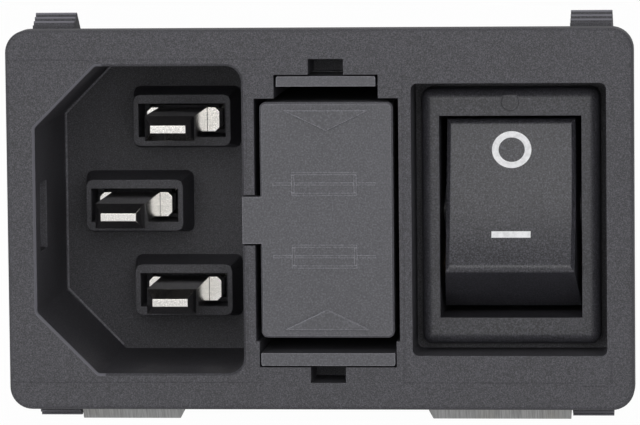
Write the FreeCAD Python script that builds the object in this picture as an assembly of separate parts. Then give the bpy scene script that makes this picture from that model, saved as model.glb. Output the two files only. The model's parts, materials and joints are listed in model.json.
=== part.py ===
# Panel power inlet module: a C14 inlet, a two-pole fuse drawer and a two-pole rocker switch
# share one moulded housing that snaps into a rectangular panel cut-out.
# Millimetres and degrees. X runs right, Z up and Y rearwards, into the equipment. The origin is
# the centre of the panel cut-out, in the plane of the panel's front face.
import FreeCAD
import Part

import math
import os

from FreeCAD import Vector

# ---------------------------------------------------------------- driving dimensions

OVERLAP = 0.1                   # solids run this far into or past each other before they are joined or cut
SLACK = 0.01                    # for finding edges by their place
ALIGNED = 0.999                 # least cosine for an edge to count as running along an axis
WIRE_SIDES = 4                  # flats round a fine wire

# Flange and body
FLANGE_THICKNESS = 2.4
FLANGE_OVERLAP_SIDE = 1.0       # flange beyond the cut-out, left and right
FLANGE_OVERLAP_TOP = 1.2        # flange beyond the cut-out, top and bottom
FLANGE_CORNER_RADIUS = 1.8
FLANGE_EDGE_RADIUS = 0.35
CUTOUT_CLEARANCE = 0.2          # body to cut-out, each side
BODY_CORNER_RADIUS = 0.8
LEFT_WALL = 1.1                 # beside the inlet cavity
RIGHT_WALL = 0.95               # beside the switch recess
TOP_WALL = 0.77                 # over the tallest compartment
PARTITION = 1.0                 # between neighbouring compartments
MOUTH_CHAMFER = 0.2

# Inlet cavity, shaped for a C13 connector
CAVITY_WIDTH = 16.6
CAVITY_HEIGHT = 24.6
CAVITY_DEPTH = 17.0
CAVITY_KEY_CHAMFER = 4.9
CAVITY_KEY_RADIUS = 0.4
CAVITY_CORNER_RADIUS = 1.3
FLOOR_THICKNESS = 3.0
LOCK_NOTCH_HEIGHT = 5.5
LOCK_NOTCH_START = 2.4
LOCK_NOTCH_LENGTH = 3.8
LOCK_NOTCH_DEPTH = 0.55

# Pins
PIN_WIDTH = 4.0
PIN_THICKNESS = 2.0
PIN_PITCH = 14.0                # line pin to neutral pin
EARTH_OFFSET = 4.0              # earth pin out of the line through the other two
PIN_TIP_DEPTH = 3.4             # line and neutral tips below the flange face
EARTH_PIN_LEAD = 0.75           # earth tip ahead of the other two
PIN_TIP_LENGTH = 1.1
PIN_TIP_BEVEL_SIDE = 0.58
PIN_TIP_BEVEL_TOP = 0.7
PIN_SHOULDER_STEP = 1.0         # shoulder beyond the blade, each side
PIN_SHOULDER_BEVEL = 0.35
PIN_SHOULDER_RISE = 3.1         # shoulder above the cavity floor
PIN_SEAT_CLEARANCE = 0.05
PIN_BACK_STEP = 0.5             # retaining plate beyond the shoulder, each side
PIN_BACK_THICKNESS = 0.6
PIN_TAIL_WIDTH = 2.6
PIN_TAIL_THICKNESS = 1.2
PIN_RIVET_HEAD = 0.4
PIN_RIVET_OVERHANG = 0.3        # beyond half the tail's width
COLLAR_HEIGHT = 4.0
COLLAR_WALL_SIDE = 0.4
COLLAR_WALL_TOP = 0.72
COLLAR_DRAFT = 0.45
COLLAR_CORNER = 0.5
POCKET_GAP_SIDE = 0.6           # shoulder to collar, left and right
POCKET_GAP_TOP = 0.38           # blade to collar, above and below

# Quick-connect tabs
TAB_WIDTH = 6.3
TAB_THICKNESS = 0.8
TAB_LENGTH = 8.2
TAB_BEVEL = 1.0
TAB_HOLE_RADIUS = 0.82
TAB_HOLE_INSET = 3.2
TAB_SLOT_CLEARANCE = 0.1

# Fuse drawer
SHAFT_WIDTH = 11.5
SHAFT_HEIGHT = 19.4
DRAWER_SIDE_GAP = 0.45
DRAWER_END_GAP = 0.3
DRAWER_CORNER_RADIUS = 0.5
DRAWER_FACE_BEVEL = 0.15
CARRIER_INSET = 0.15            # carrier behind the drawer's face, each side
ARM_GAP = 1.25                  # drawer face to spring arm
UPPER_ARM_WIDTH = 7.9
UPPER_ARM_THICKNESS = 0.8
LOWER_ARM_WIDTH = 10.7
LOWER_ARM_THICKNESS = 1.0
ARM_CLEARANCE = 0.13
UPPER_ARM_SIDE_GAP = 0.2
LOWER_ARM_SIDE_GAP = 0.125
ARM_ROOT_LENGTH = 2.0
ARM_CORNER_RADIUS = 0.25
ARM_CATCH_RISE = 0.06
ARM_CATCH_LENGTH = 1.6
ARM_CATCH_START = 3.0
CATCH_POCKET_DEPTH = 0.6
PRY_NOTCH_WIDTH = 2.8
PRY_NOTCH_HEIGHT = 1.25
PRY_NOTCH_DEPTH = 5.0
KEY_TAB_WIDTH = 1.0             # drawer's key tab past the shaft, over the partition
KEY_TAB_HEIGHT = 3.75
KEY_TAB_THICKNESS = 1.3
KEY_TAB_CLEARANCE = 0.15
ARROW_WIDTH = 6.7
ARROW_HEIGHT = 1.6
ARROW_RELIEF = 0.18
ARROW_INSET = 0.65

# Fuses, 5 x 20 mm
FUSE_LENGTH = 20.0
FUSE_CAP_RADIUS = 2.6
FUSE_CAP_LENGTH = 5.4
FUSE_CAP_WALL = 0.25
FUSE_TUBE_RADIUS = 2.3
FUSE_TUBE_WALL = 0.55
FUSE_TUBE_CLEARANCE = 0.03
FUSE_WIRE = 0.3
FUSE_PITCH = 9.4
FUSE_OFFSET = 0.4               # fuses towards the open side of the carrier
FUSE_FRONT_GAP = 0.4            # drawer face to front cap
CHANNEL_CLEARANCE = 0.1
CARRIER_LIP = 0.5

# Fuse contacts
LINK_THICKNESS = 0.5
LINK_PIN_GAP = 1.0              # behind the pin's wide back
LINK_CARRIER_GAP = 0.3          # behind the drawer's carrier
LINK_WIDTH = 4.4
LINK_PAD_RISE = 0.6
LINK_PAD_RADIUS = 1.2
PAD_CLEARANCE = 0.3
CONTACT_GAP = 0.1               # contact to fuse cap, the spring relaxed
OUTLET_THICKNESS = 0.4
OUTLET_SIDE_GAP = 0.3           # strip to the shaft's wall
OUTLET_WIDTH = 4.0
OUTLET_CONTACT_Y = 3.2          # behind the panel plane, on the front caps
OUTLET_BOW_START = 12.0
OUTLET_TIP_FLARE = 0.9
OUTLET_TIP_LENGTH = 1.4
OUTLET_TIP_CLEARANCE = 0.4
CHANNEL_WALL = 1.5              # behind the outlet contacts

# Rear cover
COVER_THICKNESS = 1.6
COVER_CLEARANCE = 0.1
COVER_RIM = 0.8
COVER_HOOK_WIDTH = 5.0
COVER_HOOK_THICKNESS = 0.9
COVER_HOOK_REACH = 3.4
COVER_HOOK_RISE = 0.8
COVER_HOOK_LENGTH = 1.3
COVER_HOOK_SIDE_GAP = 0.2
COVER_HOOK_END_GAP = 0.1

# Snap latches at the corners
SNAP_WIDTH = 3.3
SNAP_INSET = 0.6
SNAP_ROOT_Y = 10.4
SNAP_ROOT_LENGTH = 1.6
SNAP_ARM_THICKNESS = 1.05
SNAP_NOSE_Y = 1.0               # thinnest panel
SNAP_NOSE_RISE = 1.6            # nose above the body
SNAP_NOSE_THICKNESS = 0.8
SNAP_STEPS = 3
SNAP_STEP_RISE = 0.3
SNAP_STEP_RUN = 0.6
SNAP_CREST = 0.35
SNAP_RAMP_END_Y = 6.6
SNAP_POCKET_DEPTH = 2.1
SNAP_POCKET_GAP = 0.3

# Earthing clips under the body
CLIP_THICKNESS = 0.4
CLIP_REACH = 2.75               # tip beyond the body
CLIP_TIP_Y = 2.9
CLIP_LIP_Y = 1.5
CLIP_LIP_HEIGHT = 2.0
CLIP_BEND_Y = 7.5
CLIP_BEND_RADIUS = 0.3
CLIP_TANG_WIDTH = 5.0
CLIP_TANG_HEIGHT = 2.2
CLIP_SEAT_CLEARANCE = 0.05
LEFT_CLIP_WIDTH = 8.2
RIGHT_CLIP_WIDTH = 11.4
LEFT_CLIP_ANCHOR = 1.2          # tang behind the inlet's floor
RIGHT_CLIP_ANCHOR = 2.0         # tang ahead of the switch shell's rear
CLIP_SNAP_GAP = 0.15            # clip to the snap latch beside it
CLIP_END_SLANT = 0.35

# Switch
RECESS_WIDTH = 15.45
RECESS_HEIGHT = 21.7
RECESS_DEPTH = 5.6
RECESS_CORNER_RADIUS = 0.5
PAN_THICKNESS = 1.6
SWITCH_SHELL_DEPTH = 12.6
BEZEL_GAP = 0.6
BEZEL_SINK = 2.6                # bezel face below the flange face
BEZEL_EDGE_RADIUS = 0.9
BEZEL_CORNER_RADIUS = 0.8
BEZEL_RIM_SIDE = 1.46
BEZEL_RIM_END = 2.17
EJECTOR_MARK_RADIUS = 0.7
EJECTOR_MARK_DEPTH = 0.08
CASE_SIDE_WALL = 0.75
CASE_END_WALL = 1.3
CASE_BACK_GAP = 0.75            # load terminal's shelf to the back wall
CASE_BACK_WALL = 1.5
CASE_CLEARANCE = 0.1
CASE_BARB_WIDTH = 6.0
CASE_BARB_RISE = 0.45
CASE_BARB_LENGTH = 2.2
CASE_DIVIDER = 0.8
CASE_DIVIDER_GAP = 0.5          # behind the rocker's skirt
ROCKER_THROW = 32.0
ROCKER_PIVOT_DEPTH = 6.1        # behind the bezel face
ROCKER_HEIGHT = 6.62            # ridge above the pivot
ROCKER_SKIRT = 0.1              # skirt corner above the pivot
ROCKER_END_LEAN = 14.6          # end walls from square, at mid-throw
ROCKER_SIDE_GAP = 0.15
ROCKER_END_GAP = 0.22
ROCKER_SIDE_TAPER = 0.42
ROCKER_DISH = 0.65
ROCKER_RIDGE_RADIUS = 0.55
ROCKER_SIDE_BEVEL = 0.3
ROCKER_WALL = 1.3
TRUNNION_RADIUS = 1.2
TRUNNION_DEPTH = 0.4            # into the case wall
TRUNNION_ROOT = 0.5             # inside the cheek
TRUNNION_CLEARANCE = 0.05
TRUNNION_LOBE = 1.1             # cheek round the trunnion
POLE_PITCH = 6.8
BARREL_RADIUS = 1.8
BARREL_REACH = 2.6              # behind the pivot
BORE_TOP = 4.4                  # bore end above the pivot
PLUNGER_RADIUS = 1.1
PLUNGER_CLEARANCE = 0.05
PLUNGER_TIP = 6.3               # behind the pivot
PLUNGER_LENGTH = 5.3
PLUNGER_NOSE = 0.6              # chamfer round the tip
SPRING_WIRE = 0.35
SPRING_TURNS = 3
SPRING_STEPS = 12               # straight runs in each turn of the coil
BRIDGE_THROW = 18.0
BRIDGE_BEND = 6.0               # each arm bent towards the plunger
BRIDGE_ARM = 5.8
BRIDGE_WIDTH = 3.2
BRIDGE_THICKNESS = 0.6
BRIDGE_GAP = 0.15               # plunger at mid-throw to bridge
CONTACT_RADIUS = 1.2
CONTACT_HEIGHT = 0.6
CONTACT_REACH = 4.6             # contact from the bridge's pivot
CONTACT_AIR = 0.1               # closed contacts, modelled apart
SHELF_OVERHANG = 0.2            # shelf beyond the fixed contact
SADDLE_GAP = 0.1
SADDLE_LAND = 0.3
SADDLE_SLOPE = 0.6
REST_POST_GAP = 0.2
REST_POST_WIDTH = 1.4
SWITCH_TAB_WIDTH = 4.8
SWITCH_TAB_LENGTH = 8.0

# ---------------------------------------------------------------- places worked out from them

FRONT = -FLANGE_THICKNESS
BODY_WIDTH = LEFT_WALL + CAVITY_WIDTH + SHAFT_WIDTH + RECESS_WIDTH + 2 * PARTITION + RIGHT_WALL
BODY_LEFT = -BODY_WIDTH / 2
BODY_RIGHT = BODY_WIDTH / 2
CAVITY_LEFT = BODY_LEFT + LEFT_WALL
CAVITY_RIGHT = CAVITY_LEFT + CAVITY_WIDTH
SHAFT_LEFT = CAVITY_RIGHT + PARTITION
SHAFT_RIGHT = SHAFT_LEFT + SHAFT_WIDTH
RECESS_LEFT = SHAFT_RIGHT + PARTITION
RECESS_RIGHT = RECESS_LEFT + RECESS_WIDTH
INLET_X = (CAVITY_LEFT + CAVITY_RIGHT) / 2
DRAWER_X = (SHAFT_LEFT + SHAFT_RIGHT) / 2
SWITCH_X = (RECESS_LEFT + RECESS_RIGHT) / 2

DRAWER_HALF_HEIGHT = SHAFT_HEIGHT / 2 - DRAWER_END_GAP
UPPER_WINDOW_TOP = DRAWER_HALF_HEIGHT + ARM_GAP + UPPER_ARM_THICKNESS + ARM_CLEARANCE
LOWER_WINDOW_TOP = DRAWER_HALF_HEIGHT + ARM_GAP + LOWER_ARM_THICKNESS + ARM_CLEARANCE
TALLEST = max(
    CAVITY_HEIGHT / 2,
    RECESS_HEIGHT / 2,
    max(UPPER_WINDOW_TOP, LOWER_WINDOW_TOP) + PRY_NOTCH_HEIGHT,
)
BODY_TOP = TALLEST + TOP_WALL
FLANGE_WIDTH = BODY_WIDTH + 2 * (CUTOUT_CLEARANCE + FLANGE_OVERLAP_SIDE)
FLANGE_HEIGHT = 2 * (BODY_TOP + CUTOUT_CLEARANCE + FLANGE_OVERLAP_TOP)

FLOOR_Y = FRONT + CAVITY_DEPTH
FLOOR_BACK = FLOOR_Y + FLOOR_THICKNESS
PIN_BACK_END = FLOOR_BACK + PIN_BACK_THICKNESS
FUSE_BACK = FUSE_FRONT_GAP + FUSE_LENGTH
CARRIER_BACK = FUSE_BACK + CARRIER_LIP
LINK_Y = max(PIN_BACK_END + LINK_PIN_GAP, CARRIER_BACK + LINK_CARRIER_GAP)
COVER_Y = LINK_Y + LINK_THICKNESS + PIN_RIVET_HEAD + COVER_CLEARANCE
BODY_BACK = COVER_Y + COVER_THICKNESS
REAR_HALF_HEIGHT = CAVITY_HEIGHT / 2

FUSE_X = DRAWER_X + FUSE_OFFSET
CHANNEL_RADIUS = FUSE_CAP_RADIUS + CHANNEL_CLEARANCE
OUTLET_X = SHAFT_RIGHT + OUTLET_THICKNESS + OUTLET_SIDE_GAP
CHANNEL_BLOCK_RIGHT = OUTLET_X + CHANNEL_WALL
COVER_LEFT = CAVITY_LEFT + COVER_CLEARANCE
COVER_RIGHT = CHANNEL_BLOCK_RIGHT - COVER_RIM - COVER_CLEARANCE

RECESS_FLOOR = FRONT + RECESS_DEPTH
PAN_BACK = RECESS_FLOOR + PAN_THICKNESS
BEZEL_FACE = FRONT + BEZEL_SINK
BEZEL_WIDTH = RECESS_WIDTH - 2 * BEZEL_GAP
BEZEL_HEIGHT = RECESS_HEIGHT - 2 * BEZEL_GAP
APERTURE_WIDTH = BEZEL_WIDTH - 2 * BEZEL_RIM_SIDE
APERTURE_HEIGHT = BEZEL_HEIGHT - 2 * BEZEL_RIM_END
CASE_WIDTH = APERTURE_WIDTH + 2 * CASE_SIDE_WALL
CASE_HEIGHT = APERTURE_HEIGHT + 2 * CASE_END_WALL
PIVOT_Y = BEZEL_FACE + ROCKER_PIVOT_DEPTH
SKIRT_RADIUS = APERTURE_HEIGHT / 2 - ROCKER_END_GAP
POLES = {"left": SWITCH_X - POLE_PITCH / 2, "right": SWITCH_X + POLE_PITCH / 2}
BRIDGE_Y = PIVOT_Y + PLUNGER_TIP + BRIDGE_GAP + BRIDGE_THICKNESS
CLOSED_SLOPE = math.radians(BRIDGE_THROW / 2 - BRIDGE_BEND)
MOVING_CONTACT_REACH = (CONTACT_REACH + CONTACT_RADIUS) * math.sin(CLOSED_SLOPE)
FIXED_CONTACT_Y = BRIDGE_Y + MOVING_CONTACT_REACH + CONTACT_HEIGHT * math.cos(CLOSED_SLOPE) + CONTACT_AIR
SHELF_Y = FIXED_CONTACT_Y + CONTACT_HEIGHT
CASE_FLOOR = SHELF_Y + TAB_THICKNESS + CASE_BACK_GAP
CASE_BACK = CASE_FLOOR + CASE_BACK_WALL
LOAD_TERMINAL_Z = CONTACT_REACH + CONTACT_RADIUS + SHELF_OVERHANG + TAB_THICKNESS / 2
PINS = {
    "line": (INLET_X + EARTH_OFFSET / 2, PIN_PITCH / 2),
    "neutral": (INLET_X + EARTH_OFFSET / 2, -PIN_PITCH / 2),
    "earth": (INLET_X - EARTH_OFFSET / 2, 0.0),
}
FUSE_Z = {"line": FUSE_PITCH / 2, "neutral": -FUSE_PITCH / 2}
CLIPS = {
    "left": (
        BODY_LEFT + SNAP_INSET + SNAP_WIDTH + CLIP_SNAP_GAP,
        LEFT_CLIP_WIDTH,
        FLOOR_BACK + LEFT_CLIP_ANCHOR,
    ),
    "right": (
        BODY_RIGHT - SNAP_INSET - SNAP_WIDTH - CLIP_SNAP_GAP - RIGHT_CLIP_WIDTH,
        RIGHT_CLIP_WIDTH,
        SWITCH_SHELL_DEPTH - RIGHT_CLIP_ANCHOR,
    ),
}

# ---------------------------------------------------------------- shape helpers


def span(centre, size):
    """The two limits of a size about a centre."""
    return centre - size / 2, centre + size / 2


def block(x, y, z):
    """Rectangular block between two limits on each axis."""
    return Part.makeBox(x[1] - x[0], y[1] - y[0], z[1] - z[0], Vector(x[0], y[0], z[0]))


def edges_along(shape, axis):
    """Straight edges of a shape that run along an axis."""
    found = []
    for edge in shape.Edges:
        if not isinstance(edge.Curve, Part.Line):
            continue
        if abs(edge.tangentAt(edge.FirstParameter).dot(axis)) > ALIGNED:
            found.append(edge)
    return found


def edges_within(shape, x, y, z):
    """Edges of a shape that lie wholly inside a box."""
    found = []
    for edge in shape.Edges:
        box = edge.BoundBox
        inside_x = box.XMin > x[0] - SLACK and box.XMax < x[1] + SLACK
        inside_y = box.YMin > y[0] - SLACK and box.YMax < y[1] + SLACK
        inside_z = box.ZMin > z[0] - SLACK and box.ZMax < z[1] + SLACK
        if inside_x and inside_y and inside_z:
            found.append(edge)
    return found


def rounded_block(x, y, z, radius):
    """Block whose four edges along Y are rounded."""
    solid = block(x, y, z)
    return solid.makeFillet(radius, edges_along(solid, Vector(0, 1, 0)))


def prism(points, along, limits):
    """Straight solid with an outline of (u, v) points: Y-Z along X, X-Z along Y or X-Y along Z."""
    placed = {
        "x": lambda u, v: Vector(limits[0], u, v),
        "y": lambda u, v: Vector(u, limits[0], v),
        "z": lambda u, v: Vector(u, v, limits[0]),
    }[along]
    direction = {"x": Vector(1, 0, 0), "y": Vector(0, 1, 0), "z": Vector(0, 0, 1)}[along]
    corners = [placed(u, v) for u, v in points]
    face = Part.Face(Part.makePolygon(corners + corners[:1]))
    return face.extrude(direction * (limits[1] - limits[0]))


def rod(centre, direction, length, radius):
    """Round bar from a centre point."""
    return Part.makeCylinder(radius, length, centre, direction)


def strip_outline(path, thickness):
    """Outline of a bent strip that lies to the left of a path of (u, v) points."""
    inner = [Vector(u, v, 0) for u, v in path]
    normals = []
    for start, end in zip(inner, inner[1:]):
        run = (end - start).normalize()
        normals.append(Vector(-run.y, run.x, 0))
    outer = [inner[0] + normals[0] * thickness]
    for before, after, corner in zip(normals, normals[1:], inner[1:]):
        mean = before + after
        outer.append(corner + mean * (2 * thickness / mean.dot(mean)))
    outer.append(inner[-1] + normals[-1] * thickness)
    return [(p.x, p.y) for p in inner + outer[::-1]]


def fused(shapes):
    """One solid from several that overlap or share faces."""
    shapes = list(shapes)
    return shapes[0].fuse(shapes[1:]).removeSplitter()


def clipped_outline(x, z, cut):
    """(x, z) corners of a rectangle whose corners are each cut by two flats, as a round would be."""
    share = 1 - math.sqrt(0.5)
    points = []
    for sign_x, sign_z in ((1, 1), (-1, 1), (-1, -1), (1, -1)):
        corner_x = x[1] if sign_x > 0 else x[0]
        corner_z = z[1] if sign_z > 0 else z[0]
        on_side = (corner_x, corner_z - sign_z * cut)
        middle = (corner_x - sign_x * share * cut, corner_z - sign_z * share * cut)
        on_end = (corner_x - sign_x * cut, corner_z)
        points += [on_side, middle, on_end] if sign_x * sign_z > 0 else [on_end, middle, on_side]
    return points


def drafted_block(centre_x, centre_z, base, top, y, cut):
    """Block with sloping sides; base and top are its (x, z) sizes at the two Y limits."""
    wires = []
    for size, height in ((base, y[0]), (top, y[1])):
        corners = [
            Vector(u, height, v)
            for u, v in clipped_outline(span(centre_x, size[0]), span(centre_z, size[1]), cut)
        ]
        wires.append(Part.makePolygon(corners + corners[:1]))
    return Part.makeLoft(wires, True, True)


def wire_section(centre, upward, thickness):
    """Section of a fine wire as a plain polygon, in the plane of X and another direction."""
    corners = []
    for side in range(WIRE_SIDES + 1):
        angle = 2 * math.pi * side / WIRE_SIDES
        across = Vector(thickness / 2 * math.cos(angle), 0, 0)
        corners.append(centre + across + upward * (thickness / 2 * math.sin(angle)))
    return Part.makePolygon(corners)


def about_pivot(shape, angle, y):
    """Shape turned about an axis along X at mid-height."""
    turned = shape.copy()
    turned.rotate(Vector(0, y, 0), Vector(1, 0, 0), angle)
    return turned


def flipped(shape, upside_down, leftwards=False):
    """Shape mirrored in the module's middle planes."""
    if upside_down:
        shape = shape.mirror(Vector(0, 0, 0), Vector(0, 0, 1))
    if leftwards:
        shape = shape.mirror(Vector(0, 0, 0), Vector(1, 0, 0))
    return shape


# ---------------------------------------------------------------- housing


def flange():
    """Front plate with rounded corners and a softened front edge."""
    plate = rounded_block(
        span(0, FLANGE_WIDTH), (FRONT, 0), span(0, FLANGE_HEIGHT), FLANGE_CORNER_RADIUS
    )
    front_edges = edges_within(
        plate, span(0, FLANGE_WIDTH), (FRONT, FRONT), span(0, FLANGE_HEIGHT)
    )
    return plate.makeFillet(FLANGE_EDGE_RADIUS, front_edges)


def body_blocks():
    """Solid bulk behind the flange: deep over inlet and drawer, shallow over the switch."""
    deep = block((BODY_LEFT, CHANNEL_BLOCK_RIGHT), (0, BODY_BACK), (-BODY_TOP, BODY_TOP))
    shallow = block((BODY_LEFT, BODY_RIGHT), (0, SWITCH_SHELL_DEPTH), (-BODY_TOP, BODY_TOP))
    bulk = deep.fuse(shallow).removeSplitter()
    corners = [
        edge
        for edge in edges_along(bulk, Vector(0, 1, 0))
        if abs(edge.CenterOfMass.z) > BODY_TOP - SLACK and abs(edge.CenterOfMass.x) > BODY_RIGHT - SLACK
    ]
    return bulk.makeFillet(BODY_CORNER_RADIUS, corners)


def inlet_cavity():
    """Space for the connector: two corners cut off on the earth side, two rounded."""
    half = CAVITY_HEIGHT / 2
    cut = CAVITY_KEY_CHAMFER
    points = [
        (CAVITY_LEFT, -half + cut),
        (CAVITY_LEFT + cut, -half),
        (CAVITY_RIGHT, -half),
        (CAVITY_RIGHT, half),
        (CAVITY_LEFT + cut, half),
        (CAVITY_LEFT, half - cut),
    ]
    cavity = prism(points, "y", (FRONT, FLOOR_Y))
    upright = edges_along(cavity, Vector(0, 1, 0))
    square = [edge for edge in upright if edge.CenterOfMass.x > CAVITY_RIGHT - SLACK]
    cavity = cavity.makeFillet(CAVITY_CORNER_RADIUS, square)
    upright = edges_along(cavity, Vector(0, 1, 0))
    keyed = [edge for edge in upright if edge.CenterOfMass.x < CAVITY_LEFT + cut + SLACK]
    return cavity.makeFillet(CAVITY_KEY_RADIUS, keyed)


def lock_notch():
    """Recess in the cavity's left wall that a locking connector's catch drops into."""
    start = FRONT + LOCK_NOTCH_START
    return block(
        (CAVITY_LEFT - LOCK_NOTCH_DEPTH, CAVITY_LEFT + OVERLAP),
        (start, start + LOCK_NOTCH_LENGTH),
        span(0, LOCK_NOTCH_HEIGHT),
    )


def pin_collar(pin):
    """Raised rectangular collar round one pin's foot, with its pocket still filled."""
    x, z = PINS[pin]
    width = PIN_WIDTH + 2 * (PIN_SHOULDER_STEP + POCKET_GAP_SIDE + COLLAR_WALL_SIDE)
    height = PIN_THICKNESS + 2 * (POCKET_GAP_TOP + COLLAR_WALL_TOP)
    return drafted_block(
        x,
        z,
        (width, height),
        (width + 2 * COLLAR_DRAFT, height + 2 * COLLAR_DRAFT),
        (FLOOR_Y - COLLAR_HEIGHT, FLOOR_Y),
        COLLAR_CORNER,
    )


def pin_pocket(pin):
    """Pocket inside a collar, and the slot through the floor that holds the pin's shoulder."""
    x, z = PINS[pin]
    shoulder = PIN_WIDTH + 2 * PIN_SHOULDER_STEP
    pocket = block(
        span(x, shoulder + 2 * POCKET_GAP_SIDE),
        (FLOOR_Y - COLLAR_HEIGHT, FLOOR_Y),
        span(z, PIN_THICKNESS + 2 * POCKET_GAP_TOP),
    )
    slot = block(
        span(x, shoulder + 2 * PIN_SEAT_CLEARANCE),
        (FLOOR_Y, FLOOR_BACK),
        span(z, PIN_THICKNESS + 2 * PIN_SEAT_CLEARANCE),
    )
    return pocket.fuse(slot)


def drawer_shaft():
    """Shaft for the fuse drawer, with the windows that its two spring arms run in."""
    depth = (FRONT, COVER_Y)
    half = SHAFT_HEIGHT / 2
    shaft = block((SHAFT_LEFT, SHAFT_RIGHT), depth, (-half, half))
    upper = block(span(DRAWER_X, UPPER_ARM_WIDTH + 2 * UPPER_ARM_SIDE_GAP), depth, (0, UPPER_WINDOW_TOP))
    lower = block(span(DRAWER_X, LOWER_ARM_WIDTH + 2 * LOWER_ARM_SIDE_GAP), depth, (-LOWER_WINDOW_TOP, 0))
    return shaft.fuse([upper, lower])


def pry_notches():
    """Slots above and below the windows, for the screwdriver that frees the drawer."""
    width = span(DRAWER_X, PRY_NOTCH_WIDTH)
    depth = (FRONT, FRONT + PRY_NOTCH_DEPTH)
    upper = block(width, depth, (0, UPPER_WINDOW_TOP + PRY_NOTCH_HEIGHT))
    lower = block(width, depth, (-LOWER_WINDOW_TOP - PRY_NOTCH_HEIGHT, 0))
    return upper.fuse(lower)


def catch_pockets():
    """Undercuts in the windows, behind the front lip, for the catches of the spring arms."""
    depth = (ARM_CATCH_START - ARM_CLEARANCE, ARM_CATCH_START + ARM_CATCH_LENGTH + ARM_CLEARANCE)
    upper = block(span(DRAWER_X, UPPER_ARM_WIDTH), depth, (0, UPPER_WINDOW_TOP + CATCH_POCKET_DEPTH))
    lower = block(span(DRAWER_X, LOWER_ARM_WIDTH), depth, (-LOWER_WINDOW_TOP - CATCH_POCKET_DEPTH, 0))
    return upper.fuse(lower)


def key_tab_seat():
    """Step in the partition that the drawer's key tab lies in."""
    return block(
        (CAVITY_RIGHT - OVERLAP, SHAFT_LEFT + OVERLAP),
        (FRONT, FRONT + KEY_TAB_THICKNESS + KEY_TAB_CLEARANCE),
        span(0, KEY_TAB_HEIGHT + 2 * KEY_TAB_CLEARANCE),
    )


def outlet_channel(pole):
    """Groove in the shaft's right wall that an outlet contact is pushed into from behind."""
    z = FUSE_Z[pole]
    groove = block(
        (SHAFT_RIGHT - OVERLAP, OUTLET_X),
        (OUTLET_CONTACT_Y - OUTLET_TIP_LENGTH - OUTLET_TIP_CLEARANCE, BODY_BACK),
        span(z, OUTLET_WIDTH + 2 * PIN_SEAT_CLEARANCE),
    )
    return groove


def link_passage():
    """Gap in the rear of the partition that the links pass through, from pin to fuse."""
    return block(
        (CAVITY_RIGHT - OVERLAP, SHAFT_LEFT + OVERLAP),
        (LINK_Y, COVER_Y),
        (-REAR_HALF_HEIGHT, REAR_HALF_HEIGHT),
    )


def rear_hollows():
    """Wiring space behind the inlet's floor, and the rebate that the rear cover drops into."""
    wiring = block((CAVITY_LEFT, CAVITY_RIGHT), (FLOOR_BACK, COVER_Y), span(0, 2 * REAR_HALF_HEIGHT))
    rebate = block(
        (CAVITY_LEFT, CHANNEL_BLOCK_RIGHT - COVER_RIM),
        (COVER_Y, BODY_BACK),
        span(0, 2 * REAR_HALF_HEIGHT),
    )
    return wiring.fuse(rebate)


def cover_hook_window(upside_down):
    """Window in the top wall that a cover hook snaps into."""
    start = COVER_Y - COVER_HOOK_REACH
    window = block(
        span(INLET_X, COVER_HOOK_WIDTH + 2 * COVER_HOOK_SIDE_GAP),
        (start - COVER_HOOK_END_GAP, start + COVER_HOOK_LENGTH + COVER_HOOK_END_GAP),
        (REAR_HALF_HEIGHT - OVERLAP, BODY_TOP + OVERLAP),
    )
    return flipped(window, upside_down)


def switch_recess():
    """Recess that frames the switch, the opening for its case and the space behind it."""
    recess = rounded_block(
        (RECESS_LEFT, RECESS_RIGHT), (FRONT, RECESS_FLOOR), span(0, RECESS_HEIGHT), RECESS_CORNER_RADIUS
    )
    opening = block(
        span(SWITCH_X, CASE_WIDTH + 2 * CASE_CLEARANCE),
        (RECESS_FLOOR, PAN_BACK),
        span(0, CASE_HEIGHT + 2 * CASE_CLEARANCE),
    )
    behind = block(
        (CHANNEL_BLOCK_RIGHT, RECESS_RIGHT),
        (PAN_BACK, SWITCH_SHELL_DEPTH),
        span(0, 2 * REAR_HALF_HEIGHT),
    )
    return recess.fuse([opening, behind])


def snap_pocket(upside_down, leftwards):
    """Relief in a body corner that a snap latch folds into."""
    inner = BODY_RIGHT - SNAP_INSET - SNAP_WIDTH - SNAP_POCKET_GAP
    pocket = block(
        (inner, BODY_RIGHT + OVERLAP),
        (0, SNAP_ROOT_Y),
        (BODY_TOP - SNAP_POCKET_DEPTH, BODY_TOP + OVERLAP),
    )
    return flipped(pocket, upside_down, leftwards)


def snap_latch(upside_down, leftwards):
    """Arm rooted at the rear, with a ramp and a stepped nose that grips panels of several thicknesses."""
    nose_z = BODY_TOP + SNAP_NOSE_RISE
    crest_y = SNAP_NOSE_Y + SNAP_STEPS * SNAP_STEP_RUN
    crest_z = nose_z + SNAP_STEPS * SNAP_STEP_RISE
    root_end = SNAP_ROOT_Y + SNAP_ROOT_LENGTH
    points = [(root_end, BODY_TOP), (SNAP_RAMP_END_Y, BODY_TOP), (crest_y + SNAP_CREST, crest_z)]
    for step in range(SNAP_STEPS, 0, -1):
        face_y = SNAP_NOSE_Y + step * SNAP_STEP_RUN
        points.append((face_y, nose_z + step * SNAP_STEP_RISE))
        points.append((face_y, nose_z + (step - 1) * SNAP_STEP_RISE))
    points.append((SNAP_NOSE_Y, nose_z))
    points.append((SNAP_NOSE_Y, nose_z - SNAP_NOSE_THICKNESS))
    points.append((crest_y + SNAP_CREST, nose_z - SNAP_NOSE_THICKNESS))
    points.append((SNAP_RAMP_END_Y, BODY_TOP - SNAP_ARM_THICKNESS))
    points.append((root_end, BODY_TOP - SNAP_ARM_THICKNESS))
    outer = BODY_RIGHT - SNAP_INSET
    return flipped(prism(points, "x", (outer - SNAP_WIDTH, outer)), upside_down, leftwards)


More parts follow.
